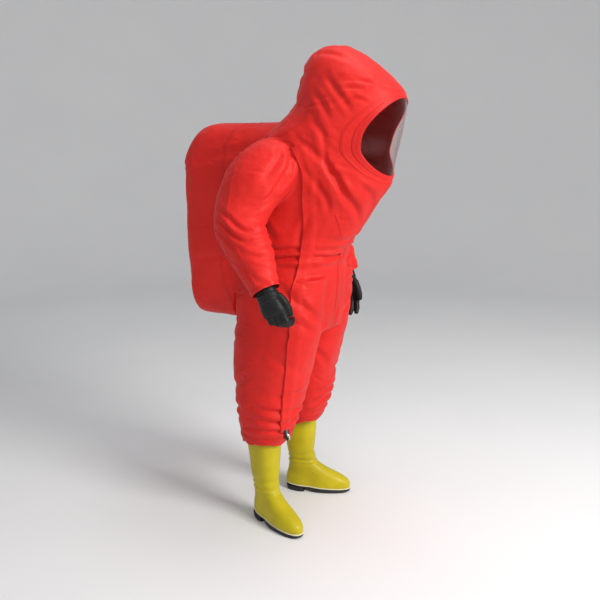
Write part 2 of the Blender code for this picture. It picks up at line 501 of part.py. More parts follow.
for side, s in (("right", -1), ("left", 1)):
    def boot_ring(row, w, n=18):
        z, l0, l1, hw = row
        out = []
        for l, q in foot_outline(l0 + w, l1 - w, hw - w, n):
            zz = z - drop(l) * max(0.0, 1 - (z - 0.03) / 0.07)
            out.append(foot(s, l, shape_w(l, q, z), zz))
        return out
    rows_o = [boot_ring(r, 0.0) for r in reversed(BOOT)]
    rows_i = [boot_ring(r if i else (r[0] + 0.003, *r[1:]), 0.003) for i, r in enumerate(BOOT)]
    thick("boot_upper_" + side, rows_o, list(reversed(rows_i)), YELLOW, closed_end=True)
    def slab(name, z_top, z_bottom, l0, l1, hw, mat, n=20):
        top, bot = [], []
        for l, q in foot_outline(l0, l1, hw, n):
            top.append(foot(s, l, shape_w(l, q, 0.03), z_top(l)))
            bot.append(foot(s, l, shape_w(l, q, 0.03), z_bottom(l)))
        return solid(name, [bot, top], mat, 40)
    slab("boot_welt_" + side, lambda l: 0.0297 - drop(l), lambda l: 0.0270 - drop(l), 0.003, 0.2885, 0.0475, CREAM)
    def tread(l):
        return 0.0183 * (1 - smooth(min(1.0, max(0.0, (l - 0.100) / 0.022)))) + 0.004 * smooth(min(1.0, max(0.0, (l - 0.262) / 0.027)))
    # outsole: cut in stations so that its underside has a flat ball and an arch
    st = [0.004, 0.02, 0.05, 0.086, 0.100, 0.108, 0.115, 0.122, 0.150, 0.180, 0.210, 0.240, 0.262, 0.275, 0.284, 0.2885]
    def half_w(l):
        t = (l - (0.003 + 0.2890) / 2) / ((0.2890 - 0.003) / 2)
        return max(0.004, shape_w(l, 0.0470 * max(0.0, 1 - abs(t) ** 2.4) ** (1 / 2.4), 0.03))
    rows = []
    for l in st:
        zb, zt, hw = tread(l), 0.0267 - drop(l), half_w(l)
        rows.append([foot(s, l, -hw, zb), foot(s, l, hw, zb), foot(s, l, hw, zt), foot(s, l, -hw, zt)])
    solid("boot_outsole_" + side, rows, BLACK, 30)
    rows = []
    for l in (0.004, 0.010, 0.025, 0.050, 0.083):
        hw = half_w(l + 0.004) - 0.001
        rows.append([foot(s, l + 0.003, -hw + 0.002, 0.0), foot(s, l + 0.003, hw - 0.002, 0.0), foot(s, l, hw, 0.0179), foot(s, l, -hw, 0.0179)])
    solid("boot_heel_" + side, rows, BLACK, 30)
    def insole_ring(z, n=16):
        return [foot(s, l, shape_w(l, q, 0.03), z - drop(l)) for l, q in foot_outline(0.014, 0.276, 0.0380, n)]
    solid("boot_insole_" + side, [insole_ring(0.0345), insole_ring(0.0385)], WEB)
    def clamp_ring(z, w, n=18):
        f, b, hw = table([(r[0], r[1], r[2], r[3]) for r in BOOT], z)
        return [foot(s, l, q, z) for l, q in foot_outline(f - w, b + w, hw + w, n)]
    thick("boot_clamp_" + side, [clamp_ring(0.380, 0.0030), clamp_ring(0.396, 0.0030)], [clamp_ring(0.380, 0.0008), clamp_ring(0.396, 0.0008)], STEEL)


# ------------------------------------------------------------------ zip and its flap, down the right side
def right_surface(kind):
    """phi = 90 degrees at the outer side, 0 at the front."""
    if kind == "body": return lambda phi, z, off: body_point(-phi, z, off)
    return lambda phi, z, off: leg_point(phi, z, off, -1)

def across(kind, z, widths, off):
    """Points at distances (widths) from the flap's free edge, walked round the suit toward the front."""
    surf = right_surface(kind)
    ye = table(FLAP_EDGE, z)[0]
    lo, hi = 0.0, math.pi / 2
    for _ in range(40):
        mid = (lo + hi) / 2
        if surf(mid, z, 0.0)[1] < ye: lo = mid
        else: hi = mid
    phi, dist, step = (lo + hi) / 2, 0.0, math.radians(0.25)
    prev, out = surf(phi, z, 0.0), []
    for w in widths:
        while dist < w:
            phi -= step
            p = surf(phi, z, 0.0)
            dist += math.dist(p, prev); prev = p
        out.append((*surf(phi, z, off), z))
    return out

def strip(name, kind, z0, z1, n, w0, w1, cols, off_out, off_in, mat):
    widths = [w0 + (w1 - w0) * i / cols for i in range(cols + 1)]
    rows = []
    for i in range(n + 1):
        z = z0 + (z1 - z0) * i / n
        rows.append(across(kind, z, widths, off_out) + list(reversed(across(kind, z, widths, off_in))))
    return solid(name, rows, mat, 30)

for kind, label, z0, z1, n in (("body", "torso", 1.062, 1.500, 9), ("leg", "thigh", 0.514, 0.828, 6)):
    strip("zip_tape_" + label, kind, z0, z1 - 0.004, n, 0.012, 0.044, 1, 0.0046, 0.0032, BLACK)
    strip("zip_flap_" + label, kind, z0, z1, n, 0.0, FLAP_W, 3, 0.0090, 0.0064, RED)
strip("zip_tape_shin", "leg", 0.362, 0.486, 3, 0.012, 0.044, 1, 0.0046, 0.0032, BLACK)
strip("zip_flap_shin", "leg", 0.454, 0.486, 2, 0.0, FLAP_W, 3, 0.0090, 0.0064, RED)

def zip_frame(kind, z):
    """Point on the zip's centre line, with directions up along it, outward and across."""
    p = Vector(across(kind, z, [0.028], 0.0)[0])
    up = (Vector(across(kind, z + 0.02, [0.028], 0.0)[0]) - Vector(across(kind, z - 0.02, [0.028], 0.0)[0])).normalized()
    ac = (Vector(across(kind, z, [0.034], 0.0)[0]) - Vector(across(kind, z, [0.022], 0.0)[0])).normalized()
    out = up.cross(ac).normalized()
    if out.x > 0: out = -out
    return p, up, out, up.cross(out).normalized()

def block(name, p, up, out, ac, u0, u1, o0, o1, half, mat, nose=0.7):
    """Small tapered block on the zip: narrower at its outer face."""
    def corner(u, o, w): return tuple(p + up * u + out * o + ac * w)
    rows = [[corner(u0, o0, -half), corner(u1, o0, -half), corner(u1, o0, half), corner(u0, o0, half)],
            [corner(u0 + 0.001, o1, -half * nose), corner(u1 - 0.001, o1, -half * nose), corner(u1 - 0.001, o1, half * nose), corner(u0 + 0.001, o1, half * nose)]]
    return solid(name, rows, mat, 30)

SLIDER_Z = 0.388
p, up, out, ac = zip_frame("leg", SLIDER_Z)
block("zip_slider", p, up, out, ac, -0.009, 0.011, 0.0062, 0.0110, 0.0075, BRASS)
block("zip_pull", p, up, out, ac, -0.027, 0.004, 0.0117, 0.0133, 0.0050, BRASS, 0.95)
q, up2, out2, ac2 = zip_frame("leg", 0.3705)
block("zip_stop_bottom", q, up2, out2, ac2, -0.004, 0.003, 0.0052, 0.0078, 0.0080, GREY)
q, up2, out2, ac2 = zip_frame("body", 1.494)
block("zip_stop_top", q, up2, out2, ac2, 0.010, 0.016, 0.0040, 0.0080, 0.0080, BRASS)
ZIP_AXIS = up
PULL_PIVOT = p + up * 0.003 + out * 0.0125

# ------------------------------------------------------------------ joints: one empty on each axis, the pieces parented to it
PIVOTS, MEMBERS = {}, {}
def pivot(name, at, parent=None, members=()):
    at = Vector(at) + SHIFT
    e = bpy.data.objects.new("pivot_" + name, None)
    e.empty_display_size = 0.05
    bpy.context.scene.collection.objects.link(e)
    if parent:
        e.parent = bpy.data.objects["pivot_" + parent]
        e.location = at - PIVOTS[parent]
    else:
        e.location = at
    PIVOTS[name], MEMBERS[name] = at, list(members)
    for m in members:
        ob = bpy.data.objects[m]
        ob.parent = e
        ob.matrix_parent_inverse = Matrix.Translation(-at)

for side, A in ARMS.items():
    s = A["s"]
    pivot("shoulder_" + side, (s * SHOULDER[0], SHOULDER[1], SHOULDER[2]), None, ["sleeve_upper_" + side, "elbow_gusset_" + side])
    pivot("elbow_" + side, (s * A["ex"], *A["elbow"]), "shoulder_" + side, ["sleeve_forearm_" + side, "glove_ring_" + side])
    pivot("wrist_" + side, (s * A["wx"], *A["wrist"]), "elbow_" + side, ["glove_" + side])
    leg = [] if side == "left" else ["zip_tape_thigh", "zip_flap_thigh"]
    pivot("hip_" + side, (s * 0.125, HIP_Y, HIP_Z), None, ["trouser_thigh_" + side, "knee_gusset_" + side] + leg)
    low = [] if side == "left" else ["zip_tape_shin", "zip_flap_shin", "zip_stop_bottom"]
    pivot("knee_" + side, (s * 0.135, KNEE_Y, KNEE_Z), "hip_" + side,
          ["trouser_shin_" + side] + ["boot_%s_%s" % (k, side) for k in ("upper", "welt", "outsole", "heel", "insole", "clamp")] + low)
pivot("zip_slide", tuple(p), "knee_right", ["zip_slider"])
pivot("zip_pull_hinge", tuple(PULL_PIVOT), "zip_slide", ["zip_pull"])
for tag, (vy, vz) in zip(("upper", "lower"), VALVES):
    pivot("valve_" + tag, (VALVE_X + 0.003, vy, vz), None, ["valve_disc_" + tag])
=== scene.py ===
# Gas-tight chemical protective suit: the looks.  Metres, +Z up, the suit faces -Y.
import bpy
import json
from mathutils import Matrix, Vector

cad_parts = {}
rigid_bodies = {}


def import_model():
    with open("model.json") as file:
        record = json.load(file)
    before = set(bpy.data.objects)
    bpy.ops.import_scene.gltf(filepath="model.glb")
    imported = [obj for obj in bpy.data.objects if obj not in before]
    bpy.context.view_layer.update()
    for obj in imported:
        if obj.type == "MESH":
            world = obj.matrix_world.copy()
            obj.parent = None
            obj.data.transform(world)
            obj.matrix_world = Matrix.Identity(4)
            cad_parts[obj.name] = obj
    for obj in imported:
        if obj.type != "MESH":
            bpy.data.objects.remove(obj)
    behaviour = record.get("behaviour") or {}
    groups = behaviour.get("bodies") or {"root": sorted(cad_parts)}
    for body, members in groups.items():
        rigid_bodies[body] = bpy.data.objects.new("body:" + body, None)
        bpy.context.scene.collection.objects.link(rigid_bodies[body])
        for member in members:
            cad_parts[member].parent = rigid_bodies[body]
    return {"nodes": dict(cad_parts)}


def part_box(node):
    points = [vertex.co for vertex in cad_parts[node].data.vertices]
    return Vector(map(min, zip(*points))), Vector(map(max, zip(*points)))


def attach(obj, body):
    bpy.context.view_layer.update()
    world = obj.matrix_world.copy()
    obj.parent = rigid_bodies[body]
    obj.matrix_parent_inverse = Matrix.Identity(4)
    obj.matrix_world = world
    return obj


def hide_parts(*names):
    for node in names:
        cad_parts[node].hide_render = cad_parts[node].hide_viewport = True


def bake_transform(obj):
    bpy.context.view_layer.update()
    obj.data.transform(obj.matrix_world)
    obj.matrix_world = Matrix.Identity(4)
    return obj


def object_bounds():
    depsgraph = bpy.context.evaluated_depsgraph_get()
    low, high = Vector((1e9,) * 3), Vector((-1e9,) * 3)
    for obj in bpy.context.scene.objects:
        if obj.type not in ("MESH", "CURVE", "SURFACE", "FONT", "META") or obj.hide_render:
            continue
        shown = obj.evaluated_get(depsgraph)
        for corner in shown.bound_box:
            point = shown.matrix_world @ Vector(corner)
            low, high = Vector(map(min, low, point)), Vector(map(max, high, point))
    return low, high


for o in list(bpy.data.objects): bpy.data.objects.remove(o, do_unlink=True)
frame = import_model()
import bmesh, math, json
import numpy as np
from mathutils import Vector, Matrix, noise
from mathutils.bvhtree import BVHTree

CAD_BOX = [list(map(float, p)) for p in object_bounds()]
N = frame["nodes"]
SX, SY = 0.00433, 0.01253              # the CAD's centring shift
S = Vector((SX, SY, 0.0))
scene = bpy.context.scene

# ------------------------------------------------------------------ camera
AZ, PITCH, DIST, HC, FPX = math.radians(-61.5), math.radians(12.0), 2.87, 1.50, 721.0
back = Vector((math.sin(AZ), -math.cos(AZ), 0.0))
cam_data = bpy.data.cameras.new("camera")
cam_data.sensor_width, cam_data.lens = 36.0, FPX / 600.0 * 36.0
cam = bpy.data.objects.new("camera", cam_data)
scene.collection.objects.link(cam)
cam.location = Vector((0.035 + SX, SY, 0.0)) + back * DIST + Vector((0, 0, HC))
fwd = -back * math.cos(PITCH) + Vector((0, 0, -math.sin(PITCH)))
cam.rotation_euler = fwd.to_track_quat('-Z', 'Y').to_euler()
scene.camera = cam

# ------------------------------------------------------------------ numbers shared with the CAD model
ARM_X = 0.215
HIP_Y, HIP_Z, KNEE_Y, KNEE_Z = 0.040, 0.930, 0.050, 0.500
VISOR_Z, VISOR_HX, VISOR_HZ = 1.532, 0.152, 0.142
ARMS = {"right": dict(s=-1, elbow=(0.045, 1.215), wrist=(-0.078, 1.020), ex=0.335, wx=0.368, tip=(-0.142, 0.872), tx=0.378),
        "left":  dict(s=+1, elbow=(0.045, 1.190), wrist=(-0.052, 0.970), ex=0.325, wx=0.360, tip=(-0.085, 0.762), tx=0.372)}
BODY = [(0.760, -0.150, 0.185, 0.235, 0.02, 2.5), (0.840, -0.172, 0.200, 0.243, 0.02, 2.5), (0.930, -0.182, 0.203, 0.240, 0.02, 2.5),
        (1.000, -0.188, 0.195, 0.224, 0.02, 2.4), (1.060, -0.192, 0.185, 0.206, 0.02, 2.3), (1.100, -0.209, 0.182, 0.202, 0.03, 2.2),
        (1.150, -0.246, 0.180, 0.204, 0.045, 2.0), (1.210, -0.286, 0.178, 0.209, 0.055, 1.95), (1.270, -0.324, 0.175, 0.2145, 0.055, 1.95),
        (1.330, -0.368, 0.170, 0.222, 0.050, 1.95), (1.365, -0.390, 0.166, 0.226, 0.045, 2.0), (1.400, -0.394, 0.160, 0.227, 0.035, 2.05),
        (1.440, -0.400, 0.150, 0.226, 0.020, 2.1), (1.480, -0.408, 0.132, 0.222, -0.010, 2.1), (1.520, -0.418, 0.104, 0.217, -0.060, 2.15),
        (1.560, -0.427, 0.060, 0.206, -0.120, 2.15), (1.600, -0.434, 0.015, 0.193, -0.180, 2.15), (1.640, -0.438, -0.018, 0.183, -0.215, 2.1),
        (1.680, -0.434, -0.034, 0.174, -0.230, 2.1), (1.720, -0.412, -0.044, 0.162, -0.228, 2.1), (1.755, -0.378, -0.052, 0.147, -0.215, 2.1),
        (1.790, -0.332, -0.062, 0.126, -0.199, 2.1), (1.820, -0.286, -0.077, 0.100, -0.184, 2.1), (1.842, -0.242, -0.098, 0.070, -0.174, 2.1),
        (1.855, -0.208, -0.122, 0.040, -0.167, 2.1)]
LEG = [(0.340, -0.034, 0.150, 0.040, 0.238), (0.400, -0.056, 0.158, 0.026, 0.250), (0.460, -0.076, 0.164, 0.016, 0.258),
       (0.520, -0.090, 0.172, 0.010, 0.260), (0.600, -0.110, 0.182, 0.007, 0.258), (0.700, -0.136, 0.190, 0.006, 0.254),
       (0.780, -0.158, 0.188, 0.006, 0.249), (0.830, -0.166, 0.184, 0.006, 0.245),
       (0.930, -0.180, 0.184, 0.006, 0.238), (1.060, -0.190, 0.160, 0.006, 0.208)]
FLAP_EDGE = [(0.360, -0.040), (0.417, -0.044), (0.540, -0.061), (0.772, -0.088), (0.943, -0.092), (1.080, -0.105), (1.205, -0.123),
             (1.317, -0.131), (1.400, -0.140), (1.450, -0.124), (1.500, -0.105)]

def spline(rows, z):
    """Smooth (Catmull-Rom on uneven steps) read of a table."""
    zs = [r[0] for r in rows]
    if z <= zs[0]: return [float(v) for v in rows[0][1:]]
    if z >= zs[-1]: return [float(v) for v in rows[-1][1:]]
    i = max(k for k in range(len(zs) - 1) if zs[k] <= z)
    h = zs[i + 1] - zs[i]; t = (z - zs[i]) / h
    out = []
    for c in range(1, len(rows[0])):
        y0, y1 = rows[i][c], rows[i + 1][c]
        m0 = (y1 - rows[i - 1][c]) / (zs[i + 1] - zs[i - 1]) if i > 0 else (y1 - y0) / h
        m1 = (rows[i + 2][c] - y0) / (zs[i + 2] - zs[i]) if i + 2 < len(rows) else (y1 - y0) / h
        out.append((2*t**3 - 3*t**2 + 1) * y0 + (t**3 - 2*t**2 + t) * h * m0 + (-2*t**3 + 3*t**2) * y1 + (t**3 - t**2) * h * m1)
    return out

def smooth(t):
    t = min(1.0, max(0.0, t)); return t * t * (3 - 2 * t)
def spow(c, e): return math.copysign(abs(c) ** e, c)

def body_point(phi, z, off=0.0):
    f, b, hw, cy, ex = spline(BODY, z)
    c, q = math.cos(phi), math.sin(phi)
    ry = (cy - f if c >= 0 else b - cy) + off
    return (hw + off) * spow(q, 2 / ex), cy - ry * spow(c, 2 / ex)

def body_front(x, z, off=0.0):
    f, b, hw, cy, ex = spline(BODY, z)
    k = max(0.0, 1 - min(1.0, abs(x) / (hw + off)) ** ex) ** (1 / ex)
    return cy - (cy - f + off) * k

def leg_point(phi, z, off, s):
    f, b, xi, xo = spline(LEG, z)
    c, q = math.cos(phi), math.sin(phi)
    return s * ((xi + xo) / 2 + ((xo - xi) / 2 + off) * spow(q, 2 / 2.3)), (f + b) / 2 - ((b - f) / 2 + off) * spow(c, 2 / 2.3)

# ------------------------------------------------------------------ mesh helpers
def new_object(name, verts, faces, shift=True):
    me = bpy.data.meshes.new(name)
    me.from_pydata([tuple(Vector(v) + S) if shift else tuple(v) for v in verts], [], faces)
    me.validate()
    ob = bpy.data.objects.new(name, me)
    scene.collection.objects.link(ob)
    return ob

def fix_normals(me):
    bm = bmesh.new(); bm.from_mesh(me)
    bmesh.ops.recalc_face_normals(bm, faces=bm.faces)
    bm.to_mesh(me); bm.free()

def loft(name, rows, cap0=True, cap1=True, shift=True, closed=True):
    n = len(rows[0]); verts = [p for r in rows for p in r]; faces = []
    for i in range(len(rows) - 1):
        for j in range(n if closed else n - 1):
            a, b, = i * n + j, i * n + (j + 1) % n
            faces.append((a, b, b + n, a + n))
    if cap0: faces.append(tuple(reversed(range(n))))
    if cap1: faces.append(tuple((len(rows) - 1) * n + j for j in range(n)))
    ob = new_object(name, verts, faces, shift)
    fix_normals(ob.data)
    return ob

def evaluated(ob):
    dg = bpy.context.evaluated_depsgraph_get(); dg.update()
    me = bpy.data.meshes.new_from_object(ob.evaluated_get(dg))
    ob.modifiers.clear(); old = ob.data; ob.data = me
    bpy.data.meshes.remove(old)
    return ob

def join(name, obs):
    bm = bmesh.new()
    for o in obs:
        bm.from_mesh(o.data)
    me = bpy.data.meshes.new(name); bm.to_mesh(me); bm.free()
    for o in obs: bpy.data.objects.remove(o, do_unlink=True)
    ob = bpy.data.objects.new(name, me); scene.collection.objects.link(ob)
    return ob

def remesh(ob, size):
    m = ob.modifiers.new("r", 'REMESH'); m.mode, m.voxel_size, m.adaptivity = 'VOXEL', size, 0.0
    return evaluated(ob)

def coords(me):
    a = np.empty(len(me.vertices) * 3, np.float32); me.vertices.foreach_get("co", a); return a.reshape(-1, 3).astype(float)
def set_coords(me, a):
    me.vertices.foreach_set("co", np.ascontiguousarray(a, np.float32).ravel()); me.update()
def normals(me):
    a = np.empty(len(me.vertices) * 3, np.float32); me.vertices.foreach_get("normal", a); return a.reshape(-1, 3).astype(float)
def edges(me):
    a = np.empty(len(me.edges) * 2, np.int32); me.edges.foreach_get("vertices", a); return a.reshape(-1, 2)

def laplace(me, steps, k=0.5, mask=None):
    co, e = coords(me), edges(me)
    deg = np.bincount(e.ravel(), minlength=len(co)).astype(float)[:, None]
    for _ in range(steps):
        s = np.zeros_like(co)
        for c in range(3):
            s[:, c] = np.bincount(e[:, 0], co[e[:, 1], c], len(co)) + np.bincount(e[:, 1], co[e[:, 0], c], len(co))
        d = (s / np.maximum(deg, 1) - co) * k
        co += d if mask is None else d * mask[:, None]
    set_coords(me, co)

def shade(me, angle=None):
    me.shade_smooth()
    if angle: me.set_sharp_from_angle(angle=math.radians(angle))

# ------------------------------------------------------------------ the suit's skin: closed forms, then one voxel surface
VOX = 0.0047
def body_rows():
    rows, zs = [], np.concatenate([np.linspace(0.800, 1.80, 70), np.linspace(1.81, 1.8545, 10)])
    for z in zs:
        rows.append([(*body_point(2 * math.pi * j / 72, z), z) for j in range(72)])
    return [[(max(-ARM_X + 0.0005, min(ARM_X - 0.0005, x)) if z > 1.24 else x, y, z) for x, y, z in r] for r in rows]
parts = [loft("f_body", body_rows())]
# hump
HX, HZ0, HZ1, HY = 0.188, 0.822, 1.592, 0.416
def hump_row(t, sh, n=72):
    cz, hz = (HZ0 + HZ1) / 2, (HZ1 - HZ0) / 2
    out = []
    for j in range(n):
        a = 2 * math.pi * j / n
        x = HX * sh * spow(math.cos(a), 2 / 4.2)
        z = cz + hz * (1 - (1 - sh) * (0.55 if math.sin(a) > 0 else 0.16)) * spow(math.sin(a), 2 / 5.0)
        deep = HY - 0.016 * smooth((1.25 - z) / 0.4) - 0.035 * smooth((z - 1.44) / 0.15)
        y0 = 0.04 if z > 0.97 else 0.150 + 0.045 * smooth((0.97 - z) / 0.06)
        if z > 1.45: y0 = 0.04 - 0.10 * smooth((z - 1.45) / 0.14)
        out.append((x, y0 + (deep - y0) * t, z))
    return out
parts.append(loft("f_hump", [hump_row(t, s) for t, s in ((0, 1.0), (0.3, 1.0), (0.6, 1.0), (0.78, 0.992), (0.87, 0.975), (0.93, 0.94), (0.97, 0.89), (0.99, 0.83), (0.998, 0.74), (1.0, 0.6))]))
for s in (-1, 1):
    rows = []
    for z in np.linspace(0.325, 1.02, 60):
        row = []
        for j in range(48):
            x, y = leg_point(2 * math.pi * j / 48, z, 0.0, s)
            if z > 0.79: y = min(y, 0.184 - 0.03 * smooth((z - 0.79) / 0.05))
            row.append((x, y, z))
        rows.append(row)
    parts.append(loft("f_leg", rows))

def arm_ring(s, c, T, ru, rv, n):
    T = Vector((T[0] * s, T[1], T[2])).normalized()
    u = Vector((0, -1, 0)); u = (u - T * u.dot(T)).normalized()
    v = (u.cross(T) * s).normalized()
    C = Vector((c[0] * s, c[1], c[2]))
    return [C + u * (ru * math.cos(a)) + v * (rv * math.sin(a)) for a in [2 * math.pi * k / n for k in range(n)]]

def arm_path(A):
    (ey, ez), (wy, wz), ex, wx = A["elbow"], A["wrist"], A["ex"], A["wx"]
    f = lambda t: (ex + (wx - ex) * t, ey + (wy - ey) * t, ez + (wz - ez) * t)
    return [((0.170, -0.020, 1.418), 0.108, 0.112), ((0.2155, -0.008, 1.412), 0.112, 0.113), ((0.262, 0.020, 1.372), 0.114, 0.104),
            ((0.298, 0.045, 1.300), 0.108, 0.086), ((0.320, 0.050, 1.250), 0.100, 0.079), ((ex, ey, ez), 0.093, 0.075),
            (f(0.25), 0.088, 0.072), (f(0.6), 0.076, 0.066), (f(0.85), 0.063, 0.057), (f(1.0), 0.056, 0.051), (f(1.10), 0.054, 0.049)]

def dense_path(P, n):
    """Smooth curve through centre points with their two radii."""
    pts = np.array([[*c, a, b] for c, a, b in P]); d = np.r_[0, np.cumsum(np.linalg.norm(np.diff(pts[:, :3], axis=0), axis=1))]
    rows = [(d[i], *pts[i]) for i in range(len(d))]
    q = [spline(rows, t) for t in np.linspace(0, d[-1], n)]
    out = []
    for i, r in enumerate(q):
        a, b = q[max(0, i - 1)], q[min(n - 1, i + 1)]
        out.append((r[:3], (b[0] - a[0], b[1] - a[1], b[2] - a[2]), r[3], r[4]))
    return out

for side, A in ARMS.items():
    s = A["s"]; rows = []
    for k, (c, T, ru, rv) in enumerate(dense_path(arm_path(A), 44)):
        ring = arm_ring(s, c, T, ru, rv, 40)
        if c[0] > 0.2155: ring = [Vector((s * max(abs(p.x), ARM_X - 0.0015 + 0.03 * smooth((1.30 - p.z) / 0.06)), p.y, p.z)) for p in ring]
        rows.append([tuple(p) for p in ring])
    parts.append(loft("f_arm", rows))
skin = join("skin", parts)
remesh(skin, VOX)
laplace(skin.data, 7)
print("skin", len(skin.data.vertices))
# ==== folds and dents, in the CAD model's own coordinates (before the shift)
co, nr = coords(skin.data) - np.array(S), normals(skin.data)
mk = lambda a, b, v: np.clip((v - a) / (b - a), 0, 1) ** 2 * (3 - 2 * np.clip((v - a) / (b - a), 0, 1))
def near_line(P, pts):
    """Distance from each point to a polyline, and the place along it (0..1)."""
    pts = np.array(pts, float); best = np.full(len(P), 9.0); at = np.zeros(len(P)); n = len(pts) - 1
    for i in range(n):
        a, d = pts[i], pts[i + 1] - pts[i]
        t = np.clip(((P - a) @ d) / max(d @ d, 1e-9), 0, 1)
        q = np.linalg.norm(P - a - t[:, None] * d, axis=1)
        m = q < best; best[m] = q[m]; at[m] = (i + t[m]) / n
    return best, at
def curve(pts, n=24):
    rows = [(i, *p) for i, p in enumerate(pts)]
    return [spline(rows, t) for t in np.linspace(0, len(pts) - 1, n)]
surf = BVHTree.FromPolygons([tuple(p) for p in co], [tuple(p.vertices) for p in skin.data.polygons])
def snap(pts):
    return [list(surf.find_nearest(Vector(p))[0]) for p in curve(pts)]
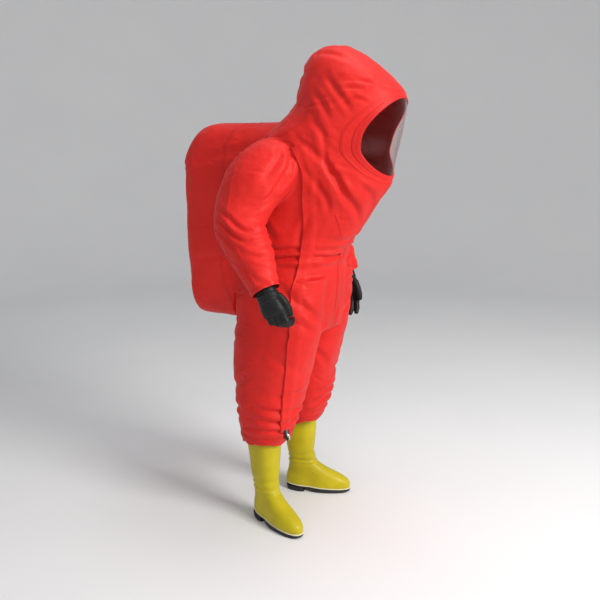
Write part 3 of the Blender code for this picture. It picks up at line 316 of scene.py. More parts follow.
FOLDS = [  # points, depth (mm), width (mm), lift of the sides
    # front and right side of the body
    ([(-0.205, -0.190, 1.470), (-0.150, -0.250, 1.380), (-0.085, -0.300, 1.270), (-0.040, -0.290, 1.225)], 8, 13, 0.55),
    ([(-0.190, -0.150, 1.420), (-0.170, -0.210, 1.330), (-0.150, -0.220, 1.270)], 6, 12, 0.5),
    ([(-0.110, -0.320, 1.375), (-0.060, -0.340, 1.330), (-0.020, -0.330, 1.290)], 5, 14, 0.4),
    ([(-0.205, 0.060, 1.096), (-0.200, -0.010, 1.092), (-0.180, -0.100, 1.098), (-0.110, -0.170, 1.100), (-0.030, -0.200, 1.093), (0.06, -0.19, 1.100)], 13, 10, 0.65),
    ([(-0.200, 0.050, 1.128), (-0.200, -0.020, 1.126), (-0.175, -0.110, 1.126), (-0.120, -0.175, 1.122), (-0.050, -0.220, 1.130)], 8, 10, 0.6),
    ([(-0.225, 0.060, 1.062), (-0.215, -0.010, 1.068), (-0.190, -0.090, 1.060), (-0.140, -0.150, 1.064)], 4, 12, 0.5),
    ([(-0.120, -0.190, 1.170), (-0.060, -0.230, 1.160), (0.030, -0.240, 1.170), (0.10, -0.20, 1.155)], 5, 13, 0.5),
    ([(0.190, -0.060, 1.110), (0.120, -0.160, 1.120), (0.030, -0.200, 1.130)], 9, 11, 0.6),
    ([(0.200, -0.020, 1.060), (0.130, -0.150, 1.065), (0.050, -0.190, 1.050)], 4, 12, 0.5),
    ([(0.170, -0.230, 1.420), (0.110, -0.300, 1.330), (0.060, -0.300, 1.260)], 7, 14, 0.5),
    ([(0.205, -0.120, 1.380), (0.180, -0.180, 1.280), (0.160, -0.160, 1.190)], 6, 14, 0.5),
    ([(-0.200, 0.060, 1.300), (-0.200, 0.020, 1.220), (-0.190, -0.020, 1.160)], 6, 14, 0.5),
    ([(-0.230, -0.060, 0.990), (-0.215, -0.120, 0.940), (-0.160, -0.175, 0.880), (-0.090, -0.180, 0.830)], 8, 14, 0.5),
    ([(-0.230, -0.020, 0.930), (-0.210, -0.100, 0.870), (-0.150, -0.160, 0.815)], 5, 13, 0.5),
    ([(0.225, -0.060, 1.000), (0.210, -0.120, 0.950), (0.150, -0.175, 0.880), (0.080, -0.180, 0.840)], 8, 14, 0.5),
    ([(0.020, -0.180, 0.900), (0.010, -0.180, 0.850), (0.000, -0.150, 0.790)], 5, 12, 0.4),
    ([(-0.205, -0.120, 1.130), (-0.200, -0.135, 1.200), (-0.190, -0.170, 1.260)], 4, 13, 0.4),
    # hood
    ([(-0.150, -0.200, 1.745), (-0.160, -0.240, 1.700), (-0.165, -0.300, 1.630), (-0.160, -0.330, 1.580)], 5, 11, 0.6),
    ([(-0.175, -0.150, 1.700), (-0.180, -0.200, 1.650), (-0.180, -0.240, 1.590)], 5, 11, 0.6),
    ([(-0.190, -0.170, 1.600), (-0.200, -0.220, 1.540), (-0.180, -0.260, 1.470)], 7, 12, 0.6),
    ([(-0.200, -0.120, 1.530), (-0.205, -0.180, 1.490), (-0.190, -0.240, 1.430), (-0.150, -0.290, 1.380)], 6, 12, 0.6),
    ([(-0.080, -0.120, 1.820), (-0.090, -0.190, 1.810), (-0.090, -0.260, 1.780)], 4, 13, 0.5),
    ([(0.150, -0.200, 1.740), (0.160, -0.260, 1.680), (0.165, -0.300, 1.620)], 5, 11, 0.6),
    ([(0.190, -0.160, 1.600), (0.195, -0.220, 1.530), (0.180, -0.260, 1.460)], 6, 12, 0.6),
    ([(-0.120, -0.070, 1.760), (-0.020, -0.055, 1.765), (0.110, -0.060, 1.750)], 5, 13, 0.6),
    ([(-0.160, -0.030, 1.660), (-0.050, -0.020, 1.680), (0.090, -0.020, 1.670), (0.150, -0.040, 1.650)], 7, 14, 0.6),
    ([(-0.160, -0.334, 1.732), (-0.140, -0.370, 1.728), (-0.110, -0.400, 1.716)], 4, 6.5, 0.8),
    ([(-0.100, -0.405, 1.712), (-0.075, -0.425, 1.700), (-0.050, -0.432, 1.688)], 4, 6.5, 0.8),
    ([(-0.175, -0.262, 1.690), (-0.170, -0.300, 1.702), (-0.155, -0.344, 1.698)], 4, 6.5, 0.8),
    ([(-0.180, -0.250, 1.638), (-0.170, -0.325, 1.662), (-0.140, -0.372, 1.642)], 5, 7, 0.8),
    ([(-0.190, -0.240, 1.566), (-0.180, -0.290, 1.540), (-0.160, -0.330, 1.504)], 5, 7, 0.8),
    ([(-0.195, -0.220, 1.548), (-0.185, -0.265, 1.515), (-0.170, -0.306, 1.484)], 5, 7, 0.8),
    ([(-0.195, -0.228, 1.498), (-0.180, -0.290, 1.476), (-0.155, -0.340, 1.456)], 5, 7, 0.8),
    ([(-0.190, -0.226, 1.446), (-0.170, -0.300, 1.428), (-0.140, -0.363, 1.408)], 5, 7, 0.8),
    ([(-0.150, -0.330, 1.404), (-0.120, -0.362, 1.385), (-0.090, -0.390, 1.364)], 5, 7, 0.8),
    ([(-0.195, -0.215, 1.560), (-0.198, -0.222, 1.500), (-0.190, -0.232, 1.440), (-0.165, -0.272, 1.360), (-0.130, -0.290, 1.270)], 9, 11, 0.5),
    ([(0.160, -0.334, 1.720), (0.140, -0.375, 1.716), (0.110, -0.400, 1.700)], 4, 7, 0.8),
    ([(0.180, -0.250, 1.628), (0.170, -0.325, 1.650), (0.140, -0.372, 1.634)], 5, 7, 0.8),
    ([(0.190, -0.235, 1.556), (0.180, -0.290, 1.530), (0.160, -0.330, 1.494)], 5, 7, 0.8),
    ([(0.190, -0.226, 1.456), (0.170, -0.300, 1.438), (0.140, -0.363, 1.416)], 5, 7, 0.8),
    ([(-0.225, -0.080, 1.430), (-0.245, -0.098, 1.395), (-0.275, -0.085, 1.350)], 6, 7, 0.7),
    ([(-0.300, -0.090, 1.350), (-0.325, -0.070, 1.325), (-0.350, -0.050, 1.310)], 5, 7, 0.7),
    # shoulders, armholes and sleeves
    ([(-0.220, -0.090, 1.490), (-0.240, -0.105, 1.440), (-0.270, -0.090, 1.390), (-0.310, -0.060, 1.330)], 8, 12, 0.6),
    ([(-0.240, -0.070, 1.500), (-0.280, -0.080, 1.450), (-0.330, -0.050, 1.390)], 5, 12, 0.5),
    ([(-0.290, -0.080, 1.330), (-0.340, -0.060, 1.300), (-0.390, 0.000, 1.290)], 6, 11, 0.5),
    ([(0.220, -0.090, 1.490), (0.250, -0.105, 1.430), (0.290, -0.080, 1.360)], 8, 12, 0.6),
    ([(0.250, -0.060, 1.500), (0.300, -0.070, 1.420), (0.340, -0.040, 1.360)], 5, 12, 0.5),
    ([(-0.240, 0.090, 1.480), (-0.280, 0.110, 1.420), (-0.330, 0.120, 1.340)], 7, 13, 0.5),
    ([(0.240, 0.090, 1.480), (0.280, 0.110, 1.420), (0.330, 0.120, 1.340)], 7, 13, 0.5),
    # hump
    ([(-0.190, 0.110, 1.500), (-0.190, 0.200, 1.480), (-0.185, 0.330, 1.440)], 5, 15, 0.5),
    ([(-0.190, 0.130, 1.050), (-0.190, 0.220, 1.080), (-0.190, 0.340, 1.060)], 6, 15, 0.5),
    ([(-0.150, 0.410, 1.400), (0.000, 0.420, 1.300), (0.120, 0.420, 1.240)], 4, 20, 0.5),
    ([(-0.120, 0.420, 1.000), (0.020, 0.420, 1.060), (0.150, 0.410, 1.020)], 5, 18, 0.5),
    ([(0.190, 0.150, 1.200), (0.190, 0.260, 1.170), (0.190, 0.340, 1.190)], 5, 15, 0.5),
]
for s in (-1, 1):                      # knees, thighs, seat: the same idea on both legs, not the same numbers
    k = 0.012 if s > 0 else 0.0
    FOLDS += [
        ([(s*0.235, 0.06, 0.520+k), (s*0.215, -0.04, 0.505), (s*0.150, -0.085, 0.490+k), (s*0.070, -0.050, 0.505)], 8, 11, 0.7),
        ([(s*0.250, 0.02, 0.470), (s*0.200, -0.055, 0.455+k), (s*0.120, -0.075, 0.462), (s*0.060, -0.040, 0.450)], 9, 11, 0.7),
        ([(s*0.240, 0.08, 0.430+k), (s*0.225, -0.01, 0.425), (s*0.170, -0.058, 0.412+k), (s*0.090, -0.050, 0.420)], 6, 10, 0.6),
        ([(s*0.225, -0.040, 0.560), (s*0.190, -0.085, 0.575+k), (s*0.130, -0.105, 0.560)], 5, 12, 0.5),
        ([(s*0.240, -0.030, 0.720), (s*0.215, -0.090, 0.690+k), (s*0.160, -0.135, 0.640)], 4, 16, 0.5),
        ([(s*0.240, 0.060, 0.640), (s*0.235, 0.130, 0.600), (s*0.170, 0.178, 0.560+k)], 6, 14, 0.5),
        ([(s*0.230, 0.110, 0.500+k), (s*0.170, 0.168, 0.490), (s*0.090, 0.160, 0.505)], 9, 12, 0.7),
        ([(s*0.220, 0.130, 0.455), (s*0.150, 0.168, 0.450+k), (s*0.070, 0.140, 0.460)], 7, 12, 0.7),
        ([(s*0.040, 0.165, 0.800), (s*0.100, 0.190, 0.770+k), (s*0.200, 0.170, 0.760)], 8, 13, 0.5),
        ([(s*0.020, -0.060, 0.700), (s*0.030, -0.110, 0.660), (s*0.080, -0.125, 0.600+k)], 5, 14, 0.5)]
for side, A in ARMS.items():           # rings of small creases at each elbow and wrist
    s, (ey, ez), (wy, wz) = A["s"], A["elbow"], A["wrist"]
    for t, dep, tilt in ((-0.20, 5, 0.02), (-0.02, 8, -0.012), (0.15, 7, 0.014), (0.34, 4, -0.01), (0.74, 3, -0.006)):
        cx, cy, cz = A["ex"] + (A["wx"] - A["ex"]) * t, ey + (wy - ey) * t, ez + (wz - ez) * t
        r = 0.088 - 0.028 * max(0, t)
        FOLDS.append(([(s * (cx + math.sin(a) * r * 0.85), cy - math.cos(a) * r, cz - math.cos(a) * r * 0.55 + tilt * math.sin(2 * a + t * 9)) for a in np.linspace(-0.5, 2.1, 5)], dep, 9.5, 0.7))
        FOLDS.append(([(s * (cx + math.sin(a) * r * 0.85), cy - math.cos(a) * r, cz - math.cos(a) * r * 0.55 - 0.012 + tilt * math.cos(2 * a)) for a in np.linspace(2.6, 5.2, 5)], dep * 0.35, 9.5, 0.5))

calm = np.ones(len(co))                # the window's surround stays calm
win = np.sqrt((co[:, 0] / VISOR_HX) ** 2 + ((co[:, 2] - VISOR_Z) / VISOR_HZ) ** 2)
calm *= np.where(co[:, 1] < -0.10, mk(1.16, 1.45, win), 1.0)
shift_n = np.zeros(len(co))
for pts, depth, width, lift in FOLDS:
    d, at = near_line(co, snap(pts)); w = width / 1000.0
    ends = np.sin(np.pi * np.clip(at * 0.92 + 0.04, 0, 1)) ** 0.7
    shift_n += depth / 1000.0 * ends * (-np.exp(-(d / w) ** 2) + lift * np.exp(-((d - 1.9 * w) / (1.1 * w)) ** 2))
# many short, shallow creases, thickest at the joints; a fixed seed
rng = np.random.RandomState(11)
arm_v = ((np.abs(co[:, 0]) > 0.2145) & (co[:, 2] > 1.22)) | ((np.abs(co[:, 0]) > 0.27) & (co[:, 2] > 0.70))
dense = 0.20 + 1.0 * np.exp(-((co[:, 2] - 1.10) / 0.04) ** 2) + 1.1 * np.exp(-((co[:, 2] - 0.47) / 0.07) ** 2) + 0.8 * np.exp(-((co[:, 2] - 1.50) / 0.16) ** 2)
dense = np.where(arm_v, 0.45 + 0.7 * np.exp(-((co[:, 2] - 1.17) / 0.07) ** 2) + 0.5 * np.exp(-((co[:, 2] - 1.45) / 0.05) ** 2), dense)
dense = np.where(co[:, 1] > 0.22, 0.10, dense) * calm
picks = rng.choice(len(co), 260, replace=False, p=dense / dense.sum())
for i in picks:
    p, nn = Vector(co[i]), Vector(nr[i]).normalized()
    ta = nn.cross(Vector((0, 0, 1)))
    if ta.length < 0.2: ta = Vector((1, 0, 0)) - nn * nn.x
    ta.normalize(); tb = nn.cross(ta).normalized(); a = rng.normal(0, 0.42); d = ta * math.cos(a) + tb * math.sin(a)
    half, bend, dep, wid = rng.uniform(0.012, 0.032), rng.normal(0, 0.10), rng.uniform(0.0014, 0.0032), rng.uniform(0.0052, 0.0075)
    pts = [list(surf.find_nearest(p + d * (half * t) + nn.cross(d) * (half * bend * t * t))[0]) for t in (-1, -0.5, 0, 0.5, 1)]
    m = np.abs(co - np.array(co[i])).max(1) < half + 0.03
    dd, at = near_line(co[m], pts)
    shift_n[m] += dep * np.sin(np.pi * np.clip(at * 0.94 + 0.03, 0, 1)) * (-np.exp(-(dd / wid) ** 2) + 0.7 * np.exp(-((dd - 1.8 * wid) / wid) ** 2))
def field(fx, fy, fz, seed, octaves=2):
    off = Vector((seed * 7.3, seed * 3.1, seed * 5.7))
    return np.array([noise.fractal(Vector((p[0] * fx, p[1] * fy, p[2] * fz)) + off, 0.8, 2.1, octaves) for p in co])
arm_m = ((np.abs(co[:, 0]) > 0.2145) & (co[:, 2] > 1.22)) | ((np.abs(co[:, 0]) > 0.27) & (co[:, 2] > 0.70))
broad = field(5.0, 5.0, 5.5, 1)
tight = field(9.0, 9.0, 30.0, 2)
slant = field(24.0, 14.0, 12.0, 3)
zz = co[:, 2]
gather = 0.6 * np.exp(-((zz - 1.105) / 0.04) ** 2) + 0.8 * np.exp(-((zz - 0.475) / 0.060) ** 2) + 0.5 * np.exp(-((zz - 0.370) / 0.03) ** 2)
gather = np.where(arm_m, 0.35 * np.exp(-((zz - 1.18) / 0.08) ** 2) + 0.05, gather)
amp = 0.0065 * broad + 0.0030 * tight * (0.22 + gather * 0.8) + 0.0022 * slant * (0.5 + np.where(zz > 1.35, 0.6, 0))
amp *= np.where(co[:, 1] > 0.22, 0.75, 1.0)
shift_n += amp
shift_n = np.clip(shift_n, -0.016, 0.0065) * calm
lo_b, hi_b = np.array(CAD_BOX[0]) - np.array(S), np.array(CAD_BOX[1]) - np.array(S)
co2 = co + nr * shift_n[:, None]
set_coords(skin.data, co2 + np.array(S))
laplace(skin.data, 1, 0.35)
print("folds", len(FOLDS))

# ------------------------------------------------------------------ openings, then the pieces
me = skin.data
co, nr = coords(me) - np.array(S), normals(me)
loops = np.empty(len(me.loops), np.int32); me.loops.foreach_get("vertex_index", loops)
F = loops.reshape(-1, 4)
surf = BVHTree.FromPolygons([tuple(p) for p in co], [tuple(map(int, f)) for f in F])
c = co[F].mean(1); ax = np.abs(c[:, 0])
def hem(x, y):
    return 0.352 - 0.03 * (y - 0.06) - 0.012 * np.exp(-((x + 0.168) / 0.030) ** 2) * (y < 0.02) + 0.0045 * np.sin(x * 61 + 2 * np.sin(y * 43)) + 0.0025 * np.sin(y * 120 + x * 50)
arm = ((ax > 0.2145) & (c[:, 2] > 1.22)) | ((ax > 0.250) & (c[:, 2] > 0.95) & (c[:, 2] <= 1.22)) | ((ax > 0.275) & (c[:, 2] > 0.70) & (c[:, 2] <= 0.95))
gone = (c[:, 1] < -0.18) & (np.sqrt((c[:, 0] / VISOR_HX) ** 2 + ((c[:, 2] - VISOR_Z) / VISOR_HZ) ** 2) < 1.0)
gone |= ~arm & (c[:, 2] < hem(c[:, 0], c[:, 1]))
wrist_end = {}
for side, A in ARMS.items():
    s, (ey, ez), (wy, wz) = A["s"], A["elbow"], A["wrist"]
    E = np.array([s * A["ex"], ey, ez]); T = np.array([s * A["wx"], wy, wz]) - E; L = np.linalg.norm(T); T /= L
    past = 1.07 if side == "right" else 1.035
    wrist_end[side] = (E, T, L * past)
    gone |= arm & (c[:, 0] * s > 0) & ((c - E) @ T > L * past)
keep = ~gone
edge_v = np.intersect1d(np.unique(F[gone]), np.unique(F[keep]))
for i in edge_v:
    x, y, z = co[i]
    if z > 1.3 and y < -0.15:
        r = math.sqrt((x / VISOR_HX) ** 2 + ((z - VISOR_Z) / VISOR_HZ) ** 2)
        x2, z2 = x / r, VISOR_Z + (z - VISOR_Z) / r
        hit = surf.ray_cast(Vector((x2, -1.0, z2)), Vector((0, 1, 0)))
        if hit[0] is not None: co[i] = hit[0]
    elif z < 0.5: co[i][2] = hem(x, y)
    else:
        E, T, L = wrist_end["right" if x < 0 else "left"]
        co[i] += T * (L - (co[i] - E) @ T)
set_coords(me, co + np.array(S)); nr = normals(me)

VSLOPE = 0.7 * ax - 0.714 * (c[:, 2] - 0.775)
hump_f = (c[:, 1] > 0.196) & (c[:, 2] > 0.815)
label = np.full(len(F), 0)                              # 0 body
leg_f = ~arm & ~hump_f & (VSLOPE > 0)
label[leg_f & (c[:, 2] >= 0.595)] = 1
label[~arm & (c[:, 2] < 0.595)] = 2
label[arm & (c[:, 2] >= 1.255)] = 3
label[arm & (c[:, 2] < 1.255)] = 4
# the sides of every kept quad, so that only real openings get a rim
e_all = np.concatenate([F[keep][:, [k, (k + 1) % 4]] for k in range(4)])
key = np.sort(e_all, 1).astype(np.int64); key = key[:, 0] * len(co) + key[:, 1]
u, cnt = np.unique(key, return_counts=True)
open_keys = set(u[cnt == 1].tolist())

def skin_piece(name, mask, thick=0.0022):
    q = F[mask]; ids = np.unique(q); mp = np.full(len(co), -1); mp[ids] = np.arange(len(ids)); n = len(ids)
    outer, inner = co[ids], co[ids] - nr[ids] * thick
    faces = mp[q].tolist() + (mp[q][:, ::-1] + n).tolist()
    for k in range(4):
        a, b = q[:, k].astype(np.int64), q[:, (k + 1) % 4].astype(np.int64)
        kk = np.minimum(a, b) * len(co) + np.maximum(a, b)
        for i in np.nonzero(np.isin(kk, list(open_keys)))[0]:
            va, vb = int(mp[a[i]]), int(mp[b[i]])
            faces.append((vb, va, va + n, vb + n))
    m2 = bpy.data.meshes.new(name)
    m2.from_pydata((np.concatenate([outer, inner]) + np.array(S)).tolist(), [], faces)
    m2.update(); m2.shade_smooth()
    m2.normals_split_custom_set_from_vertices(np.concatenate([nr[ids], -nr[ids]]).tolist())
    ob = bpy.data.objects.new(name, m2); scene.collection.objects.link(ob)
    return ob

PIECES = {}
PIECES["skin_body"] = skin_piece("skin_body", keep & (label == 0))
for side, A in ARMS.items():
    m = keep & (c[:, 0] * A["s"] > 0)
    for k, nm in ((1, "skin_thigh_"), (2, "skin_shin_"), (3, "skin_sleeve_"), (4, "skin_forearm_")):
        PIECES[nm + side] = skin_piece(nm + side, m & (label == k))
bpy.data.objects.remove(skin, do_unlink=True)

def on_skin(p, off=0.0):
    """Nearest point of the skin, lifted off it, and the way out there."""
    q, n, _, _ = surf.find_nearest(Vector(p))
    return q + n * off, n

def go_hip(ob, side):
    s = ARMS[side]["s"]; a = Vector((0, 0.02, 0.775)) + S; d = Vector((s * 0.7, 0, -0.714)).normalized()
    a = a + d * 0.012
    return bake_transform(ob)
def go_knee(ob, side):
    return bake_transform(ob)
def go_shoulder(ob, side):
    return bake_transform(ob)
def go_elbow(ob, side):
    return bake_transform(ob)
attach(PIECES["skin_body"], "suit_body")
for side in ARMS:
    go_hip(PIECES["skin_thigh_" + side], side); go_knee(PIECES["skin_shin_" + side], side)
    go_shoulder(PIECES["skin_sleeve_" + side], side); go_elbow(PIECES["skin_forearm_" + side], side)

# ------------------------------------------------------------------ thin strips that follow the skin: the flap, seam tapes, edgings
def grid_solid(name, top, bottom, closed=False):
    """A thin closed strip from two grids of points (rows along it, columns across)."""
    R, C = len(top), len(top[0]); v = [p for r in top for p in r] + [p for r in bottom for p in r]; n = R * C; f = []
    for i in range(R if closed else R - 1):
        for j in range(C - 1):
            a, b = i * C + j, ((i + 1) % R) * C + j
            f += [(a, a + 1, b + 1, b), (a + n, b + n, b + 1 + n, a + 1 + n)]
        for j in (0, C - 1):
            a, b = i * C + j, ((i + 1) % R) * C + j
            f.append((a, b, b + n, a + n) if j == 0 else (b, a, a + n, b + n))
    if not closed:
        for i in (0, R - 1):
            for j in range(C - 1):
                a = i * C + j
                f.append((a + 1, a, a + n, a + 1 + n) if i == 0 else (a, a + 1, a + 1 + n, a + n))
    ob = new_object(name, v, f); fix_normals(ob.data); shade(ob.data, 50)
    return ob

def tape(name, pts, width, high=0.0012, n=60, closed=False, cols=6, ride_on=None, groove=0.0):
    path = [Vector(p) for p in (pts if closed else curve(pts, n))]
    path = [on_skin(p)[0] for p in path]
    for _ in range(3):
        path = [path[i] if (not closed and i in (0, len(path) - 1)) else (path[i - 1] + path[i] * 2 + path[(i + 1) % len(path)]) / 4 for i in range(len(path))]
    top, bot = [], []
    for i, p in enumerate(path):
        a = path[i - 1] if (i or closed) else path[i]; b = path[(i + 1) % len(path)] if (closed or i < len(path) - 1) else path[i]
        t = (b - a).normalized(); _, nn = on_skin(p); side_v = nn.cross(t).normalized()
        rt, rb = [], []
        for j in range(cols + 1):
            w = (j / cols - 0.5) * width
            q, n2 = on_skin(p + side_v * w)
            edge = 1 - abs(2 * j / cols - 1) ** 6
            g = groove * math.exp(-((abs(w) - width * 0.36) / 0.0012) ** 2)
            rt.append(tuple(q + n2 * (0.0006 + high * edge - g))); rb.append(tuple(q - n2 * 0.0012))
        top.append(rt); bot.append(rb)
    return grid_solid(name, top, bot, closed)

def flap_grid(z0, z1, n, w0, w1, cols):
    """Base points of the zip flap: distances from its free edge, walked round the suit toward the front."""
    rows = []
    for i in range(n + 1):
        z = z0 + (z1 - z0) * i / n; ye = spline(FLAP_EDGE, z)[0]
        f = (lambda phi: body_point(-phi, z, 0.0)) if z > 0.80 else (lambda phi: leg_point(phi, z, 0.0, -1))
        lo, hi = 0.0, math.pi / 2
        for _ in range(24):
            mid = (lo + hi) / 2
            if f(mid)[1] < ye: lo = mid
            else: hi = mid
        phi, dist, prev, row = (lo + hi) / 2, 0.0, f((lo + hi) / 2), []
        for j in range(cols + 1):
            w = w0 + (w1 - w0) * j / cols
            while dist < w:
                phi -= math.radians(0.3); p = f(phi); dist += math.dist(p, prev); prev = p
            row.append((prev[0], prev[1], z))
        rows.append(row)
    G = np.array(rows)
    H = np.array([[tuple(on_skin(p, 0.0)[0]) for p in r] for r in G]); NN = np.array([[tuple(on_skin(p, 0.0)[1]) for p in r] for r in G])
    for _ in range(14):                # the strip is stiffer than the suit, so it bridges the finest folds
        H[1:-1] = (H[:-2] + 2 * H[1:-1] + H[2:]) / 4; NN[1:-1] = (NN[:-2] + 2 * NN[1:-1] + NN[2:]) / 4
    NN /= np.linalg.norm(NN, axis=2, keepdims=True)
    return H, NN

def flap_piece(name, z0, z1, n):
    cols = 16; H, NN = flap_grid(z0, z1, n, 0.0, 0.060, cols)
    top, bot = [], []
    for i in range(n + 1):
        z = z0 + (z1 - z0) * i / n; rt, rb = [], []
        for j in range(cols + 1):
            w = 0.060 * j / cols; t = j / cols
            lift = 0.0046 + 0.0034 * smooth((0.40 - t) / 0.40) + 0.0010 * (1 - t) * math.sin(z * 39 + 2.2 * math.sin(z * 17)) * smooth((0.5 - t) / 0.5) * 0.8
            stitch = 0.0011 * (math.exp(-((w - 0.0065) / 0.0016) ** 2) + math.exp(-((w - 0.0540) / 0.0016) ** 2))
            body = 0.0012 * math.exp(-((w - 0.028) / 0.011) ** 2)
            fade = smooth(t / 0.04) * smooth((1 - t) / 0.40)
            p, nn = H[i][j], NN[i][j]
            up = max(0.0006, (lift + body - stitch) * ((0.45 + 0.55 * fade) if t < 0.5 else (0.10 + 0.90 * fade)))
            rt.append(tuple(p + nn * up)); rb.append(tuple(p + nn * max(up - 0.0022, -0.0008 if t > 0.5 else 0.0)))
        top.append(rt); bot.append(rb)
    return grid_solid(name, top, bot)
nq = 2
flap_u = flap_piece("flap_upper", 0.590, 1.500, 150 * nq); flap_l = flap_piece("flap_lower", 0.408, 0.594, 34 * nq)
go_hip(flap_u, "right"); go_knee(flap_l, "right")
TAPES = {"body": [], "hip_right": [], "hip_left": [], "knee_right": [], "knee_left": [], "sh_right": [], "sh_left": [], "el_right": [], "el_left": []}
def ring_on(cx, cy, cz, plane, rad, n=80):
    """A closed ring on the skin, found by looking inward in a plane."""
    out = []
    for k in range(n):
        a = 2 * math.pi * k / n
        d = Vector((0, math.cos(a), math.sin(a))) if plane == "x" else Vector((math.cos(a), math.sin(a), 0))
        hit = surf.ray_cast(Vector((cx, cy, cz)) + d * rad, -d)
        if hit[0] is not None: out.append(tuple(hit[0]))
    return out
def cuff_ring(side, n=72):
    E, T, L = wrist_end[side]; T = Vector(T); C = Vector(E) + T * (L - 0.0095)
    u = T.orthogonal().normalized(); v = T.cross(u); out = []
    for k in range(n):
        d = u * math.cos(2 * math.pi * k / n) + v * math.sin(2 * math.pi * k / n)
        hit = surf.ray_cast(C, d, 0.12)
        if hit[0] is not None: out.append(tuple(hit[0]))
    return out
TAPES["body"] += [tape("tape_crown", [(0, -0.345, 1.785), (0.0, -0.30, 1.815), (0, -0.22, 1.850), (0, -0.14, 1.815), (0, -0.09, 1.76), (0, -0.055, 1.70)], 0.020),
                  tape("tape_front", [(0, -0.392, 1.372), (0.0, -0.375, 1.330), (0, -0.30, 1.24), (0, -0.24, 1.15), (0, -0.19, 1.06), (0, -0.185, 0.96), (0, -0.175, 0.88), (0.0, -0.15, 0.80)], 0.020, n=110),
                  tape("tape_dart", [(-0.130, -0.236, 1.262), (-0.106, -0.238, 1.222), (-0.085, -0.238, 1.182)], 0.010, n=24),
                  tape("tape_yoke_right", [(-0.205, -0.05, 1.535), (-0.19, -0.11, 1.56), (-0.18, -0.15, 1.60), (-0.165, -0.17, 1.66)], 0.018, n=40),
                  tape("tape_yoke_left", [(0.205, -0.05, 1.535), (0.19, -0.11, 1.56), (0.18, -0.15, 1.60), (0.165, -0.17, 1.66)], 0.018, n=40),
                  tape("tape_hump_r", [(-0.190, 0.20, 0.90), (-0.192, 0.22, 1.05), (-0.192, 0.22, 1.25), (-0.192, 0.21, 1.45), (-0.175, 0.19, 1.55), (-0.10, 0.17, 1.575), (0, 0.16, 1.58), (0.10, 0.17, 1.575), (0.175, 0.19, 1.55), (0.192, 0.21, 1.45), (0.192, 0.22, 1.25), (0.192, 0.22, 1.05), (0.190, 0.20, 0.90)], 0.018, n=170)]
for side, A in ARMS.items():
    s = A["s"]
    TAPES["sh_" + side] += [tape("tape_armhole_" + side, ring_on(s * 0.2180, 0.0, 1.405, "x", 0.17), 0.013, closed=True),
                            tape("tape_sleeve_" + side, [(s * 0.232, 0.012, 1.52), (s * 0.29, 0.045, 1.47), (s * 0.355, 0.06, 1.38), (s * 0.392, 0.06, 1.30), (s * 0.398, 0.055, 1.262)], 0.017, n=50)]
    TAPES["el_" + side] += [tape("tape_forearm_" + side, [(s * 0.400, 0.055, 1.250), (s * 0.405, 0.045, A["elbow"][1] - 0.01), (s * 0.415, (0.045 + A["wrist"][0]) / 2, (A["elbow"][1] + A["wrist"][1]) / 2), (s * 0.415, A["wrist"][0], A["wrist"][1] - 0.002)], 0.017, n=60),
                            tape("cuff_" + side, cuff_ring(side), 0.014, closed=True)]
    TAPES["knee_" + side] += [tape("hem_tape_" + side, ring_on(s * 0.145, 0.055, 0.373, "z", 0.135, 120), 0.020, closed=True)]
    if side == "left":
        TAPES["hip_left"].append(tape("tape_thigh_left", [(0.247, 0.02, 0.90), (0.25, 0.02, 0.80), (0.253, 0.025, 0.70), (0.257, 0.03, 0.602)], 0.018))
        TAPES["knee_left"].append(tape("tape_shin_left", [(0.257, 0.03, 0.590), (0.26, 0.035, 0.52), (0.257, 0.04, 0.45), (0.247, 0.05, 0.40)], 0.018))
for k, obs in TAPES.items():
    for o in obs:
        if k == "body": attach(o, "suit_body")
        else:
            {"hip": go_hip, "knee": go_knee, "sh": go_shoulder, "el": go_elbow}[k.split("_")[0]](o, k.split("_")[1])
print("pieces", len(PIECES), "tapes", sum(map(len, TAPES.values())))

# ------------------------------------------------------------------ window: lens, rim strip, outer seam
def win_pt(r, a, off):
    x, z = VISOR_HX * r * math.cos(a), VISOR_Z + VISOR_HZ * r * math.sin(a)
    if r < 1.02: y = body_front(x, z) ; base = Vector((x, y, z)); n = Vector((0, -1, 0))
    else:
        hit = surf.ray_cast(Vector((x, -1.0, z)), Vector((0, 1, 0)))
        base = hit[0] if hit[0] is not None else Vector((x, body_front(x, z), z))
    e = 0.004
    n = Vector((1, (body_front(x + e, z) - body_front(x - e, z)) / (2 * e), 0)).cross(Vector((0, (body_front(x, z + e) - body_front(x, z - e)) / (2 * e), 1)))
    if n.y > 0: n = -n
    return base + n.normalized() * off
def lens():
    K, R = 96, 22; v, f = [], []
    for i in range(R + 1):
        r = 0.99 * i / R
        for k in range(K if i else 1):
            a = 2 * math.pi * k / K
            wob = 0.0022 * noise.noise(Vector((math.cos(a) * r * 2.6, math.sin(a) * r * 1.4, 3.0))) + 0.0009 * math.sin(9 * r * math.cos(a) + 2.0 * math.sin(a) * r) 
            v.append(tuple(win_pt(r, a, -0.0012 + wob * (1 - r ** 4))))
    idx = lambda i, k: 0 if i == 0 else 1 + (i - 1) * K + k % K
    for k in range(K): f.append((0, idx(1, k), idx(1, k + 1)))
    for i in range(1, R):
        for k in range(K): f.append((idx(i, k), idx(i + 1, k), idx(i + 1, k + 1), idx(i, k + 1)))
    ob = new_object("window_lens", v, f); fix_normals(ob.data)
    m = ob.modifiers.new("s", 'SOLIDIFY'); m.thickness, m.offset = 0.0012, 0
    evaluated(ob); shade(ob.data); return ob
